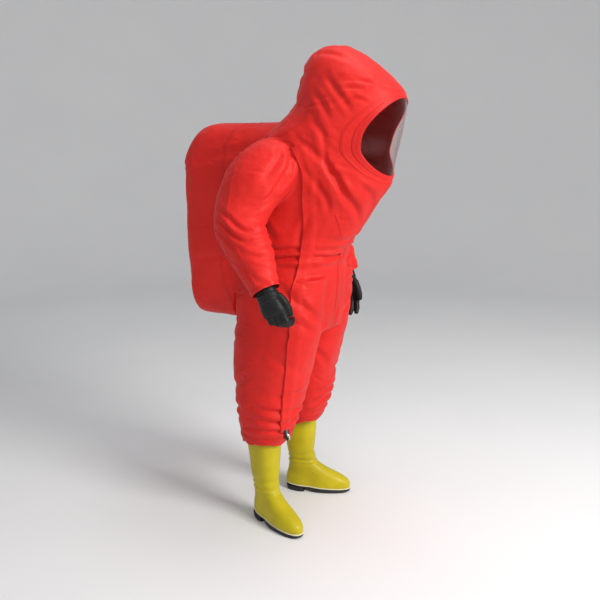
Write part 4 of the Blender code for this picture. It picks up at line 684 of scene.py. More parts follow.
def rim(name, prof, K=140):
    rows = []
    for k in range(K):
        a = 2 * math.pi * k / K
        rows.append([tuple(win_pt(r, a, o)) for r, o in prof])
    n = len(prof); v = [p for r in rows for p in r]; f = []
    for k in range(K):
        for j in range(n):
            f.append((k * n + j, k * n + (j + 1) % n, ((k + 1) % K) * n + (j + 1) % n, ((k + 1) % K) * n + j))
    ob = new_object(name, v, f); fix_normals(ob.data); shade(ob.data, 60); return ob
lens_o = lens()
rim_o = rim("window_rim", [(0.955, -0.0022), (0.955, 0.0012), (0.962, 0.0024), (0.975, 0.0028), (1.020, 0.0026), (1.026, 0.0020), (1.032, 0.0024), (1.058, 0.0020), (1.068, 0.0012), (1.072, 0.0002), (1.066, -0.0014), (1.00, -0.0030)])
rim_2 = rim("window_seam", [(1.148, 0.0001), (1.150, 0.0007), (1.156, 0.0010), (1.182, 0.0010), (1.188, 0.0007), (1.190, 0.0001), (1.182, -0.0010), (1.156, -0.0010)])
for o in (lens_o, rim_o, rim_2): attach(o, "suit_body")

# ------------------------------------------------------------------ turned parts: the two outlet valves on the hump
def turned(name, at, dirx, prof, n=64):
    """Spun about X at a point: profile of (radius, distance out)."""
    rows = [[(at.x + dirx * o, at.y + r * math.cos(2 * math.pi * k / n), at.z + r * math.sin(2 * math.pi * k / n)) for k in range(n)] for r, o in prof]
    ob = loft(name, rows, True, True, shift=False); shade(ob.data, 35); return ob
valve_parts = []
for w in ("upper", "lower"):
    lo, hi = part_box("valve_cap_" + w); lo, hi = Vector(lo), Vector(hi); mid = (lo + hi) / 2
    slo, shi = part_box("valve_seat_" + w); slo, shi = Vector(slo), Vector(shi)
    dirx = 1 if mid.x > SX else -1
    x0 = slo.x if dirx > 0 else shi.x; base = Vector((x0, mid.y, mid.z)); R = (hi.y - lo.y) / 2; RS = (shi.y - slo.y) / 2
    h = abs((hi.x if dirx > 0 else lo.x) - x0)
    seat = turned("valve_ring_" + w, base, dirx, [(RS * 0.72, 0.0), (RS - 0.001, 0.0), (RS, 0.0008), (RS, 0.0026), (RS - 0.0016, 0.0040), (RS * 0.80, 0.0046), (RS * 0.74, 0.0030)])
    cap = turned("valve_hood_" + w, base, dirx, [(R * 0.90, 0.0036), (R - 0.0006, 0.0040), (R, 0.0052), (R, h - 0.0042), (R - 0.0012, h - 0.0018), (R - 0.0034, h - 0.0006), (R * 0.70, h - 0.0002), (R * 0.66, h - 0.0014), (R * 0.28, h - 0.0014), (R * 0.24, h - 0.0002), (0.0012, h)])
    dlo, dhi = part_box("valve_disc_" + w); dm = (Vector(dlo) + Vector(dhi)) / 2; dr = (dhi[1] - dlo[1]) / 2
    disc = turned("valve_flap_" + w, Vector((dlo[0] if dirx > 0 else dhi[0], dm.y, dm.z)), dirx, [(0.002, 0.0), (dr - 0.0006, 0.0), (dr, 0.0004), (dr, 0.0010), (dr - 0.001, 0.0014), (dr * 0.35, 0.0016), (0.0015, 0.0019)])
    for k in range(10):                # slots round the cap's skirt
        a = 2 * math.pi * k / 10
        bpy.ops.mesh.primitive_cube_add(size=1, location=base + Vector((dirx * (h * 0.55), math.cos(a) * R, math.sin(a) * R)))
        b = bpy.context.object; b.scale = (max(0.003, h * 0.35), 0.0034, 0.0068); b.rotation_euler = (a + math.pi / 2, 0, 0)
        b.rotation_euler = (a, 0, 0); b.scale = (max(0.003, h * 0.35), 0.0050, 0.0068)
        m = cap.modifiers.new("b", 'BOOLEAN'); m.operation, m.object, m.solver = 'DIFFERENCE', b, 'EXACT'; evaluated(cap)
        bpy.data.objects.remove(b, do_unlink=True)
    shade(cap.data, 35)
    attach(seat, "suit_body"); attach(cap, "suit_body"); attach(disc, "valve_disc_%s_body" % w)
    valve_parts.append((w, seat, cap, disc))

# ------------------------------------------------------------------ zip: tape, teeth, slider, pull, end stop
def zip_pt(z, w=0.028):
    H = []
    for dz in (-0.006, 0.0, 0.006):
        rows = []
        ye = spline(FLAP_EDGE, z + dz)[0]
        f = lambda phi: leg_point(phi, z + dz, 0.0, -1)
        lo, hi = 0.0, math.pi / 2
        for _ in range(24):
            mid = (lo + hi) / 2
            if f(mid)[1] < ye: lo = mid
            else: hi = mid
        phi, dist, prev = (lo + hi) / 2, 0.0, f((lo + hi) / 2)
        while dist < w:
            phi -= math.radians(0.1); p = f(phi); dist += math.dist(p, prev); prev = p
        H.append(Vector((prev[0], prev[1], z + dz)))
    up = (H[2] - H[0]).normalized(); e = 0.002
    n = Vector(leg_normal(H[1])); ac = up.cross(n).normalized()
    return H[1], up, n, ac
def leg_normal(p):
    f, b, xi, xo = spline(LEG, p.z); cx, cy = -(xi + xo) / 2, (f + b) / 2
    a, d = (p.x - cx) / ((xo - xi) / 2), (p.y - cy) / ((b - f) / 2)
    g = Vector((spow(a, 1.3) / ((xo - xi) / 2), spow(d, 1.3) / ((b - f) / 2), 0))
    return g.normalized()
ZR = [0.3690 + 0.0032 * i for i in range(20)]
Z = [zip_pt(z) for z in ZR]
top, bot = [], []
for (p, up, n, ac), z in zip(Z, ZR):
    top.append([tuple(p + ac * w + n * (0.0042 + (0.0010 if abs(w) < 0.006 else 0.0) + (0.0004 if abs(w) > 0.0105 else 0))) for w in np.linspace(-0.012, 0.012, 15)])
    bot.append([tuple(p + ac * w + n * 0.0012) for w in np.linspace(-0.012, 0.012, 15)])
ztape = grid_solid("zip_ribbon", top, bot)
tv, tf = [], []
for i, (p, up, n, ac) in enumerate(Z[:-1]):
    for sgn in (-1, 1):
        q = p + up * (0.0016 if sgn > 0 else 0.0) + n * 0.0050
        b = len(tv)
        for u0, w0, o0 in ((-0.0007, 0.0004, 0), (0.0007, 0.0004, 0), (0.0009, 0.0034, 0), (-0.0009, 0.0034, 0), (-0.0006, 0.0006, 0.0014), (0.0006, 0.0006, 0.0014), (0.0007, 0.0030, 0.0014), (-0.0007, 0.0030, 0.0014)):
            tv.append(tuple(q + up * u0 + ac * (sgn * w0 - sgn * 0.0008) + n * o0))
        tf += [(b, b+1, b+2, b+3), (b+4, b+7, b+6, b+5), (b, b+4, b+5, b+1), (b+1, b+5, b+6, b+2), (b+2, b+6, b+7, b+3), (b+3, b+7, b+4, b)]
teeth = new_object("zip_teeth", tv, tf); fix_normals(teeth.data)
go_knee(ztape, "right"); go_knee(teeth, "right")
def plate(name, frame4, outline, o0, o1, bevel, hole=None, shift=True):
    """A small plate with rounded edges from an outline of (along, across), between two heights over the zip."""
    p, up, n, ac = frame4
    rows = []
    for o, k in ((o0, -bevel), (o0 + bevel, 0.0), (o1 - bevel, 0.0), (o1, -bevel)):
        cu = sum(a for a, _ in outline) / len(outline); cw = sum(b for _, b in outline) / len(outline)
        row = []
        for a, b in outline:
            l = max(1e-6, math.hypot(a - cu, b - cw)); f = 1 + k / l
            row.append(tuple(p + up * (cu + (a - cu) * f) + ac * (cw + (b - cw) * f) + n * o))
        rows.append(row)
    ob = loft(name, rows); shade(ob.data, 40); return ob
def shape(u0, u1, w0, w1, n=32, ex=3.0):
    """Rounded outline that is w0 half-wide at u0 and w1 at u1."""
    out = []
    for k in range(n):
        a = 2 * math.pi * k / n; c, q = spow(math.cos(a), 2 / ex), spow(math.sin(a), 2 / ex)
        out.append(((u0 + u1) / 2 + (u1 - u0) / 2 * c, ((w0 + w1) / 2 + (w1 - w0) / 2 * c) * q))
    return out
sl_lo, sl_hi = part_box("zip_slider"); sl_c = (Vector(sl_lo) + Vector(sl_hi)) / 2 - S
f4 = zip_pt(0.388)
slider = join("zip_runner", [plate("a", f4, shape(-0.009, 0.011, 0.0052, 0.0075), 0.0064, 0.0080, 0.0005), plate("b", f4, shape(-0.008, 0.010, 0.0046, 0.0066), 0.0080, 0.0102, 0.0008),
                             plate("c", f4, shape(0.0012, 0.0052, 0.0014, 0.0014, 20), 0.0100, 0.0106, 0.0001)])
shade(slider.data, 40)
pull = plate("zip_tab", f4, shape(-0.027, 0.004, 0.0042, 0.0050, 40, 4.0), 0.0117, 0.0133, 0.0005)
tab_hole = plate("h", f4, shape(-0.0245, -0.0190, 0.0022, 0.0022, 24), 0.0100, 0.0150, 0.0001)
m = pull.modifiers.new("b", 'BOOLEAN'); m.operation, m.object, m.solver = 'DIFFERENCE', tab_hole, 'EXACT'; evaluated(pull); bpy.data.objects.remove(tab_hole, do_unlink=True); shade(pull.data, 40)
for ob, nm in ((slider, "zip_slider"), (pull, "zip_pull")):      # centred on the CAD pieces, so that the hinge turns true
    q = coords(ob.data); lo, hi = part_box(nm)
    set_coords(ob.data, q + ((np.array(lo) + np.array(hi)) / 2 - (q.min(0) + q.max(0)) / 2))
    print("moved", nm, np.round((np.array(lo) + np.array(hi)) / 2 - (q.min(0) + q.max(0)) / 2, 4))
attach(slider, "zip_slider_body"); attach(pull, "zip_pull_body")
stop_b = plate("zip_end_block", zip_pt(0.3705), shape(-0.0040, 0.0032, 0.0080, 0.0080, 28, 5.0), 0.0052, 0.0082, 0.0006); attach(stop_b, "shin_right")

# ------------------------------------------------------------------ gloves
def capsule_chain(pts, rads, n=14):
    rows = []; pts = [Vector(p) for p in pts]
    for i, p in enumerate(pts):
        t = (pts[min(i + 1, len(pts) - 1)] - pts[max(i - 1, 0)]).normalized()
        u = t.orthogonal().normalized(); v = t.cross(u)
        if i == 0: rows.append([tuple(p - t * rads[0] * 0.8 + (u * math.cos(a) + v * math.sin(a)) * rads[0] * 0.5) for a in [2 * math.pi * k / n for k in range(n)]])
        rows.append([tuple(p + (u * math.cos(a) + v * math.sin(a)) * rads[i]) for a in [2 * math.pi * k / n for k in range(n)]])
        if i == len(pts) - 1:
            for d, r in ((0.5, 0.86), (0.85, 0.52)): rows.append([tuple(p + t * rads[i] * d + (u * math.cos(a) + v * math.sin(a)) * rads[i] * r) for a in [2 * math.pi * k / n for k in range(n)]])
    # the frame of each ring is turned to follow the one before it
    for i in range(1, len(rows)):
        best = min(range(n), key=lambda k: sum((Vector(rows[i][(j + k) % n]) - Vector(rows[i - 1][j])).length for j in range(0, n, 3)))
        rows[i] = [rows[i][(j + best) % n] for j in range(n)]
    return loft("f", rows)
for side, A in ARMS.items():
    s = A["s"]; wy, wz = A["wrist"]; W = Vector((s * A["wx"], wy, wz)); TIP = Vector((s * A["tx"], A["tip"][0], A["tip"][1]))
    D = (TIP - W); h = D.length; D.normalize()
    fore = (Vector((0, -1, 0)) - D * D.dot(Vector((0, -1, 0)))).normalized(); inn = D.cross(fore).normalized()
    if inn.x * s > 0: inn = -inn                     # toward the body: the palm's side
    P = lambda t, a=0.0, b=0.0: W + D * t + fore * a + inn * b
    bits = []
    kn = 0.094 if side == "right" else 0.096
    prof = [(0.0005, 0.0350, 0.0310), (0.008, 0.0375, 0.0330), (0.020, 0.0395, 0.0345), (0.034, 0.0410, 0.0345), (0.055, 0.0415, 0.0305), (0.072, 0.0440, 0.0260), (kn, 0.0450, 0.0225), (kn + 0.010, 0.0420, 0.0180)]
    rows = []
    for t, ru, rv in prof:
        rows.append([tuple(P(t, ru * math.cos(a), rv * math.sin(a))) for a in [2 * math.pi * k / 32 for k in range(32)]])
    bits.append(loft("palm", rows))
    for i in range(4):                               # index first, at the front
        a = 0.0325 - 0.0215 * i; k = (1.0, 1.06, 1.0, 0.82)[i]; r = (0.0122, 0.0126, 0.0122, 0.0108)[i]
        if side == "right": bend, seg = [math.radians(q) for q in (14 + 5 * i, 66 + 5 * i, 128 + 4 * i)], (0.046 * k, 0.030 * k, 0.022 * k)
        else: bend, seg = [math.radians(q) for q in (8 + 5 * i, 24 + 6 * i, 40 + 7 * i)], (0.044 * k, 0.030 * k, 0.022 * k)
        pts = [P(kn - 0.016, a * 0.92, 0.0), P(kn, a, 0.002)]; cur = pts[-1]
        spread = a * (0.10 if side == "left" else -0.02)
        for b_, l_ in zip(bend, seg):
            for part_ in (0.5, 1.0):
                pts.append(cur + (D * math.cos(b_) + inn * math.sin(b_)) * (l_ * part_) + fore * (spread * l_ / 0.03 * part_ * 0.5))
            cur = pts[-1]
        bits.append(capsule_chain(pts, [r * 0.95, r * 1.02] + [r, r * 1.03, r * 0.95, r * 1.0, r * 0.93, r * 0.86]))
    if side == "right": th = [P(0.034, 0.022, 0.004), P(0.050, 0.040, 0.006), P(0.074, 0.050, 0.012), P(0.100, 0.050, 0.022), P(0.118, 0.046, 0.030)]
    else: th = [P(0.036, 0.022, 0.004), P(0.056, 0.040, 0.008), P(0.082, 0.050, 0.012), P(0.108, 0.054, 0.014), P(0.126, 0.054, 0.015)]
    bits.append(capsule_chain(th, [0.0150, 0.0165, 0.0150, 0.0140, 0.0120]))
    g = join("hand_" + side, bits); remesh(g, 0.0019); laplace(g.data, 7)
    gc, gn = coords(g.data), normals(g.data)
    d_ = (gc - np.array(W) - np.array(S)); t_ = d_ @ np.array(D); a_ = d_ @ np.array(fore)
    w_ = 0.0009 * np.sin(t_ * 520 + 1.6 * np.sin(a_ * 90)) * np.exp(-((t_ - 0.045) / 0.020) ** 2)       # wrinkles across the wrist
    w_ += np.array([0.0010 * noise.noise(Vector(p) * 60) for p in gc]) + 0.0014 * np.exp(-((t_ - 0.028) / 0.0022) ** 2)
    set_coords(g.data, gc + gn * w_[:, None]); shade(g.data)
    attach(g, "hand_" + side)
    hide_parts("glove_" + side)
    PIECES["hand_" + side] = g

# ------------------------------------------------------------------ boots
TOE_OUT, BOOT_LEN, HEEL_X, HEEL_Y = 21.0, 0.290, 0.128, 0.122
BOOT = [(0.0285, 0.008, 0.281, 0.0440), (0.0330, 0.005, 0.2845, 0.0462), (0.0420, 0.003, 0.286, 0.0472), (0.0520, 0.0035, 0.283, 0.0470), (0.0620, 0.005, 0.273, 0.0462), (0.0720, 0.007, 0.256, 0.0448), (0.0850, 0.010, 0.224, 0.0424),
        (0.1000, 0.0125, 0.188, 0.0404), (0.1250, 0.0150, 0.150, 0.0400), (0.1600, 0.0130, 0.131, 0.0425), (0.2200, 0.004, 0.130, 0.0500), (0.3000, -0.004, 0.134, 0.0570), (0.3600, -0.008, 0.136, 0.0600), (0.4050, -0.009, 0.136, 0.0605)]
def drop(l): return 0.013 * l / BOOT_LEN
def foot(s, l, w, z):
    a = math.radians(TOE_OUT); fx, fy = math.sin(a) * s, -math.cos(a)
    return (s * HEEL_X + fx * l - fy * w * s, HEEL_Y + fy * l + fx * w * s, z)
def outline(l0, l1, hw, n, ex=2.4):
    return [((l0 + l1) / 2 + (l1 - l0) / 2 * spow(math.cos(a), 2 / ex), hw * spow(math.sin(a), 2 / ex)) for a in [2 * math.pi * k / n for k in range(n)]]
def shape_w(l, w, z):
    k = max(0.0, min(1.0, (0.13 - z) / 0.08))
    waist = 1.0 - 0.16 * math.exp(-((l - 0.105) / 0.035) ** 2) - 0.20 * math.exp(-(l / 0.06) ** 2) * (1 if z < 0.12 else 0)
    return w * (1 + (waist - 1) * k)
def slab(name, s, prof, l0, l1, hw, n=96, rib=0.0, tread=None):
    """Sole layer: profile of (inset, height above the foot bed's plane)."""
    rows = []
    for inset, zt in prof:
        row = []
        for j, (l, w) in enumerate(outline(l0 + inset, l1 - inset, hw - inset, n)):
            q = shape_w(l, w, 0.03) * (1 + (rib * (1 if (j // 2) % 2 else -1)))
            z = zt(l) if callable(zt) else zt - drop(l)
            row.append(foot(s, l, q, z))
        rows.append(row)
    ob = loft(name, rows); shade(ob.data, 40); return ob
BOOTS = {}
for side, A in ARMS.items():
    s = A["s"]; n = 96; rows = []; inner = []
    zs = np.concatenate([np.linspace(0.0285, 0.045, 8), np.linspace(0.05, 0.13, 30), np.linspace(0.134, 0.402, 84)])
    for z in zs:
        l0, l1, hw = spline(BOOT, z); row, ri = [], []
        for l, q in outline(l0, l1, hw, n):
            zz = z - drop(l) * max(0.0, 1 - (z - 0.03) / 0.07)
            p = Vector(foot(s, l, shape_w(l, q, z), zz)); ctr = Vector(foot(s, (l0 + l1) / 2 * 0.6 + 0.4 * min(l, 0.2), 0, zz)); out = (p - ctr); out.z = 0; out.normalize()
            front = smooth((l - 0.06) / 0.05)
            d = -0.0034 * math.exp(-((z - 0.128 - 0.03 * (l - 0.08)) / 0.0055) ** 2) * (0.35 + 0.65 * front) - 0.0030 * math.exp(-((z - 0.150 + 0.08 * (l - 0.06)) / 0.006) ** 2) - 0.0024 * math.exp(-((z - 0.176 - 0.10 * (l - 0.06)) / 0.007) ** 2)
            d += 0.0016 * math.exp(-((z - 0.138) / 0.006) ** 2) + 0.0016 * math.exp(-((z - 0.164) / 0.006) ** 2)
            d += 0.0028 * noise.noise(Vector((l * 14, q * 16, z * 13 + 5 * s))) * smooth((z - 0.11) / 0.06)
            d += 0.0014 * (1 - smooth((z - 0.062) / 0.0018)) * smooth((l - 0.196 + (z - 0.03) * 0.9) / 0.002) * (1 if z < 0.066 else 1)      # toe cap
            d += 0.0012 * (1 - smooth((z - 0.088 + 0.25 * l) / 0.0018)) * (1 - smooth((l - 0.062) / 0.002))                                  # heel counter
            p = p + out * d
            row.append(tuple(p))
        rows.append(row)
    for z in reversed(list(zs)[::6]):
        l0, l1, hw = spline(BOOT, z)
        inner.append([foot(s, l, shape_w(l, q, z), z + (0.004 if z < 0.04 else 0) - drop(l) * max(0.0, 1 - (z - 0.03) / 0.07)) for l, q in outline(l0 + 0.004, l1 - 0.004, hw - 0.004, n)])
    up_o = loft("boot_leg_" + side, rows + inner); shade(up_o.data, 55)
    welt = slab("boot_rand_" + side, s, [(0.002, 0.0268), (0.0, 0.0274), (-0.0012, 0.0284), (-0.0012, 0.0300), (0.0, 0.0312), (0.0022, 0.0318)], 0.002, 0.2890, 0.0480)
    def tread(l): return 0.0183 * (1 - smooth((l - 0.100) / 0.022)) + 0.004 * smooth((l - 0.262) / 0.027)
    sole = slab("boot_tread_" + side, s, [(0.006, lambda l: tread(l) + 0.0002), (0.0022, lambda l: tread(l) + 0.0006), (0.0004, lambda l: tread(l) + 0.0022), (0.0004, lambda l: max(tread(l) + 0.0030, 0.0190 - drop(l))), (0.0014, lambda l: 0.0205 - drop(l)), (0.0014, lambda l: 0.0225 - drop(l)), (0.0, 0.0236), (-0.0002, 0.0262), (0.002, 0.0268)], 0.003, 0.2885, 0.0470, n=128)
    hl = []
    for z, k in ((0.0, 0.0022), (0.0008, 0.0006), (0.0050, 0.0002), (0.0052, 0.0012), (0.0060, 0.0012), (0.0062, 0.0), (0.0120, -0.0002), (0.0122, 0.0010), (0.0130, 0.0010), (0.0132, -0.0002), (0.0180, -0.0004)):
        row = []
        for l, q in outline(0.004 + k, 0.150, 0.0465 - k, 96):
            l2 = min(l, 0.083 - z * 0.15)
            row.append(foot(s, l2 + 0.003 * (1 - z / 0.018), shape_w(l2, q if l <= 0.083 else q * 1.0, 0.03) if l <= 0.083 else shape_w(0.083, math.copysign(min(abs(q), 0.0455 - k), q), 0.03), z))
        hl.append(row)
    heel = loft("boot_heel_block_" + side, hl); shade(heel.data, 40)
    for o in (up_o, welt, sole, heel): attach(o, "shin_" + side)
    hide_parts("boot_upper_" + side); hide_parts("boot_welt_" + side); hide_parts("boot_outsole_" + side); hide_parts("boot_heel_" + side)
    BOOTS[side] = (up_o, welt, sole, heel)

# ------------------------------------------------------------------ the belt inside
bt, bb = [], []
for k in range(120):
    a = 2 * math.pi * k / 120
    zc = 1.065; rt, rb = [], []
    for j in range(5):
        z = zc - 0.018 + 0.036 * j / 4
        x, y = body_point(a, z, -0.0125); x2, y2 = body_point(a, z, -0.0145)
        rt.append((x, y, z)); rb.append((x2, y2, z))
    bt.append(rt); bb.append(rb)
belt = grid_solid("belt_webbing", bt, bb, closed=True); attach(belt, "suit_body")
print("parts done")

# ------------------------------------------------------------------ materials
def material(name):
    m = bpy.data.materials.new(name); m.use_nodes = True
    return m, m.node_tree.nodes, m.node_tree.links, m.node_tree.nodes["Principled BSDF"]
def add(nodes, kind, **kw):
    n = nodes.new(kind)
    for k, v in kw.items(): setattr(n, k, v)
    return n
def ramp(nodes, links, src, stops):
    r = nodes.new("ShaderNodeValToRGB"); e = r.color_ramp.elements
    e[0].position, e[0].color = stops[0][0], (*stops[0][1], 1); e[1].position, e[1].color = stops[-1][0], (*stops[-1][1], 1)
    for p, c_ in stops[1:-1]:
        q = e.new(p); q.color = (*c_, 1)
    links.new(src, r.inputs["Fac"]); return r.outputs["Color"]
def noise_tex(nodes, links, vec, scale, detail=3.0, rough=0.55, stretch=None):
    if stretch:
        mp = nodes.new("ShaderNodeMapping"); mp.inputs["Scale"].default_value = stretch; links.new(vec, mp.inputs["Vector"]); vec = mp.outputs["Vector"]
    t = nodes.new("ShaderNodeTexNoise"); t.inputs["Scale"].default_value, t.inputs["Detail"].default_value, t.inputs["Roughness"].default_value = scale, detail, rough
    links.new(vec, t.inputs["Vector"]); return t.outputs["Fac"]
def bumped(nodes, links, bsdf, layers):
    prev = None
    for src, strength, dist in layers:
        b = nodes.new("ShaderNodeBump"); b.inputs["Strength"].default_value, b.inputs["Distance"].default_value = strength, dist
        links.new(src, b.inputs["Height"])
        if prev is not None: links.new(prev, b.inputs["Normal"])
        prev = b.outputs["Normal"]
    links.new(prev, bsdf.inputs["Normal"])

def fabric(name, lo_c, mid_c, hi_c, rough=0.46, weave=0.10, wrinkle=0.55):
    m, n, l, b = material(name)
    v = n.new("ShaderNodeTexCoord").outputs["Object"]
    big = noise_tex(n, l, v, 3.2, 4.0, 0.6)
    col = ramp(n, l, big, [(0.30, lo_c), (0.52, mid_c), (0.74, hi_c)])
    l.new(col, b.inputs["Base Color"])
    w = n.new("ShaderNodeTexWave"); w.wave_type, w.bands_direction = 'BANDS', 'Z'; w.inputs["Scale"].default_value = 420; w.inputs["Distortion"].default_value = 0.5
    w2 = n.new("ShaderNodeTexWave"); w2.wave_type, w2.bands_direction = 'BANDS', 'DIAGONAL'; w2.inputs["Scale"].default_value = 330; w2.inputs["Distortion"].default_value = 0.5
    l.new(v, w.inputs["Vector"]); l.new(v, w2.inputs["Vector"])
    mul = n.new("ShaderNodeMath"); mul.operation = 'ADD'; l.new(w.outputs["Fac"], mul.inputs[0]); l.new(w2.outputs["Fac"], mul.inputs[1])
    fine = noise_tex(n, l, v, 34.0, 4.0, 0.55, (1.0, 1.0, 2.2))
    soft = noise_tex(n, l, v, 11.0, 3.0, 0.5, (1.0, 1.0, 1.8))
    def crease(scale, stretch, width, seed):
        mp = n.new("ShaderNodeMapping"); mp.inputs["Scale"].default_value = stretch; mp.inputs["Location"].default_value = (seed, seed * 2, seed * 3); mp.inputs["Rotation"].default_value = (0.5 * seed, 0.3 * seed, 0.2)
        l.new(v, mp.inputs["Vector"])
        t = n.new("ShaderNodeTexNoise"); t.inputs["Scale"].default_value, t.inputs["Detail"].default_value, t.inputs["Distortion"].default_value = scale, 2.0, 0.6
        l.new(mp.outputs["Vector"], t.inputs["Vector"])
        a = n.new("ShaderNodeMath"); a.operation = 'SUBTRACT'; a.inputs[1].default_value = 0.5; l.new(t.outputs["Fac"], a.inputs[0])
        c_ = n.new("ShaderNodeMath"); c_.operation = 'ABSOLUTE'; l.new(a.outputs["Value"], c_.inputs[0])
        g = n.new("ShaderNodeMapRange"); g.interpolation_type = 'SMOOTHSTEP'; g.inputs["From Min"].default_value, g.inputs["From Max"].default_value = 0.0, width; l.new(c_.outputs["Value"], g.inputs["Value"])
        mask = n.new("ShaderNodeMapRange"); mask.interpolation_type = 'SMOOTHSTEP'; mask.inputs["From Min"].default_value, mask.inputs["From Max"].default_value = 0.50, 0.66
        l.new(noise_tex(n, l, mp.outputs["Vector"], scale * 0.42, 1.0), mask.inputs["Value"])
        mx = n.new("ShaderNodeMix"); mx.data_type = 'FLOAT'; mx.inputs[2].default_value = 1.0
        l.new(mask.outputs["Result"], mx.inputs[0]); l.new(g.outputs["Result"], mx.inputs[3]); return mx.outputs[0]
    layers = [(soft, wrinkle, 0.010), (fine, wrinkle * 0.45, 0.0035), (mul.outputs["Value"], weave, 0.0003)]
    if wrinkle > 0.3: layers = [(crease(7.0, (1.0, 1.0, 1.7), 0.090, 1.3), 0.12, 0.0040), (crease(13.0, (0.8, 0.8, 2.2), 0.100, 2.1), 0.14, 0.0024)] + layers
    bumped(n, l, b, layers)
    rr = n.new("ShaderNodeMapRange"); rr.inputs["To Min"].default_value, rr.inputs["To Max"].default_value = rough - 0.07, rough + 0.09
    l.new(noise_tex(n, l, v, 7.0, 3.0), rr.inputs["Value"]); l.new(rr.outputs["Result"], b.inputs["Roughness"])
    b.inputs["Specular IOR Level"].default_value = 0.20; b.inputs["Sheen Weight"].default_value = 0.03; b.inputs["Sheen Roughness"].default_value = 0.5
    b.inputs["Coat Weight"].default_value = 0.03; b.inputs["Coat Roughness"].default_value = 0.40
    return m
def rubber(name, base, rough, var=0.15, bump=0.25, scale=60.0, coat=0.0, spec=0.5):
    m, n, l, b = material(name)
    v = n.new("ShaderNodeTexCoord").outputs["Object"]
    f1 = noise_tex(n, l, v, 9.0, 4.0)
    dark, light = tuple(x * (1 - var) for x in base), tuple(min(1.0, x * (1 + var)) for x in base)
    l.new(ramp(n, l, f1, [(0.3, dark), (0.7, light)]), b.inputs["Base Color"])
    bumped(n, l, b, [(noise_tex(n, l, v, scale, 4.0), bump, 0.0008)])
    rr = n.new("ShaderNodeMapRange"); rr.inputs["To Min"].default_value, rr.inputs["To Max"].default_value = rough - 0.06, rough + 0.08
    l.new(noise_tex(n, l, v, 14.0, 3.0), rr.inputs["Value"]); l.new(rr.outputs["Result"], b.inputs["Roughness"])
    b.inputs["Coat Weight"].default_value, b.inputs["Coat Roughness"].default_value, b.inputs["Specular IOR Level"].default_value = coat, 0.2, spec
    return m
def metal(name, base, rough, scale=180.0):
    m, n, l, b = material(name)
    v = n.new("ShaderNodeTexCoord").outputs["Object"]
    b.inputs["Metallic"].default_value = 1.0
    l.new(ramp(n, l, noise_tex(n, l, v, 40.0, 4.0), [(0.3, tuple(x * 0.8 for x in base)), (0.7, base)]), b.inputs["Base Color"])
    bumped(n, l, b, [(noise_tex(n, l, v, scale, 2.0), 0.12, 0.0003)])
    rr = n.new("ShaderNodeMapRange"); rr.inputs["To Min"].default_value, rr.inputs["To Max"].default_value = rough - 0.08, rough + 0.1
    l.new(noise_tex(n, l, v, 90.0, 3.0), rr.inputs["Value"]); l.new(rr.outputs["Result"], b.inputs["Roughness"])
    return m
M = {}
M["suit_fabric"] = fabric("suit_fabric", (0.55, 0.011, 0.008), (0.65, 0.015, 0.011), (0.71, 0.020, 0.015), 0.54)
M["seam_trim"] = fabric("seam_trim", (0.48, 0.009, 0.007), (0.58, 0.013, 0.010), (0.64, 0.017, 0.013), 0.48, 0.04, 0.20)
M["glove_rubber"] = rubber("glove_rubber", (0.007, 0.007, 0.0075), 0.50, 0.2, 0.3, 90, 0.0, 0.28)
M["black_rubber"] = rubber("black_rubber", (0.020, 0.020, 0.020), 0.52)
M["boot_yellow"] = rubber("boot_yellow", (0.49, 0.40, 0.006), 0.42, 0.12, 0.25, 26, 0.02, 0.28)
M["boot_welt"] = rubber("boot_welt", (0.66, 0.62, 0.42), 0.45, 0.08)
M["boot_sole"] = rubber("boot_sole", (0.014, 0.014, 0.014), 0.55)
M["plastic_grey"] = rubber("plastic_grey", (0.36, 0.36, 0.37), 0.42, 0.05, 0.12, 120)
M["zip_tape"] = fabric("zip_tape", (0.012, 0.012, 0.013), (0.018, 0.018, 0.020), (0.026, 0.026, 0.028), 0.6, 0.3, 0.1)
M["webbing"] = fabric("webbing", (0.02, 0.02, 0.02), (0.03, 0.03, 0.03), (0.04, 0.04, 0.04), 0.7, 0.4, 0.1)
M["lining"] = fabric("lining", (0.06, 0.06, 0.065), (0.08, 0.08, 0.085), (0.10, 0.10, 0.105), 0.8, 0.3, 0.2)
M["clamp_steel"] = metal("clamp_steel", (0.60, 0.60, 0.61), 0.32)
M["zip_metal"] = metal("zip_metal", (0.70, 0.66, 0.56), 0.30)
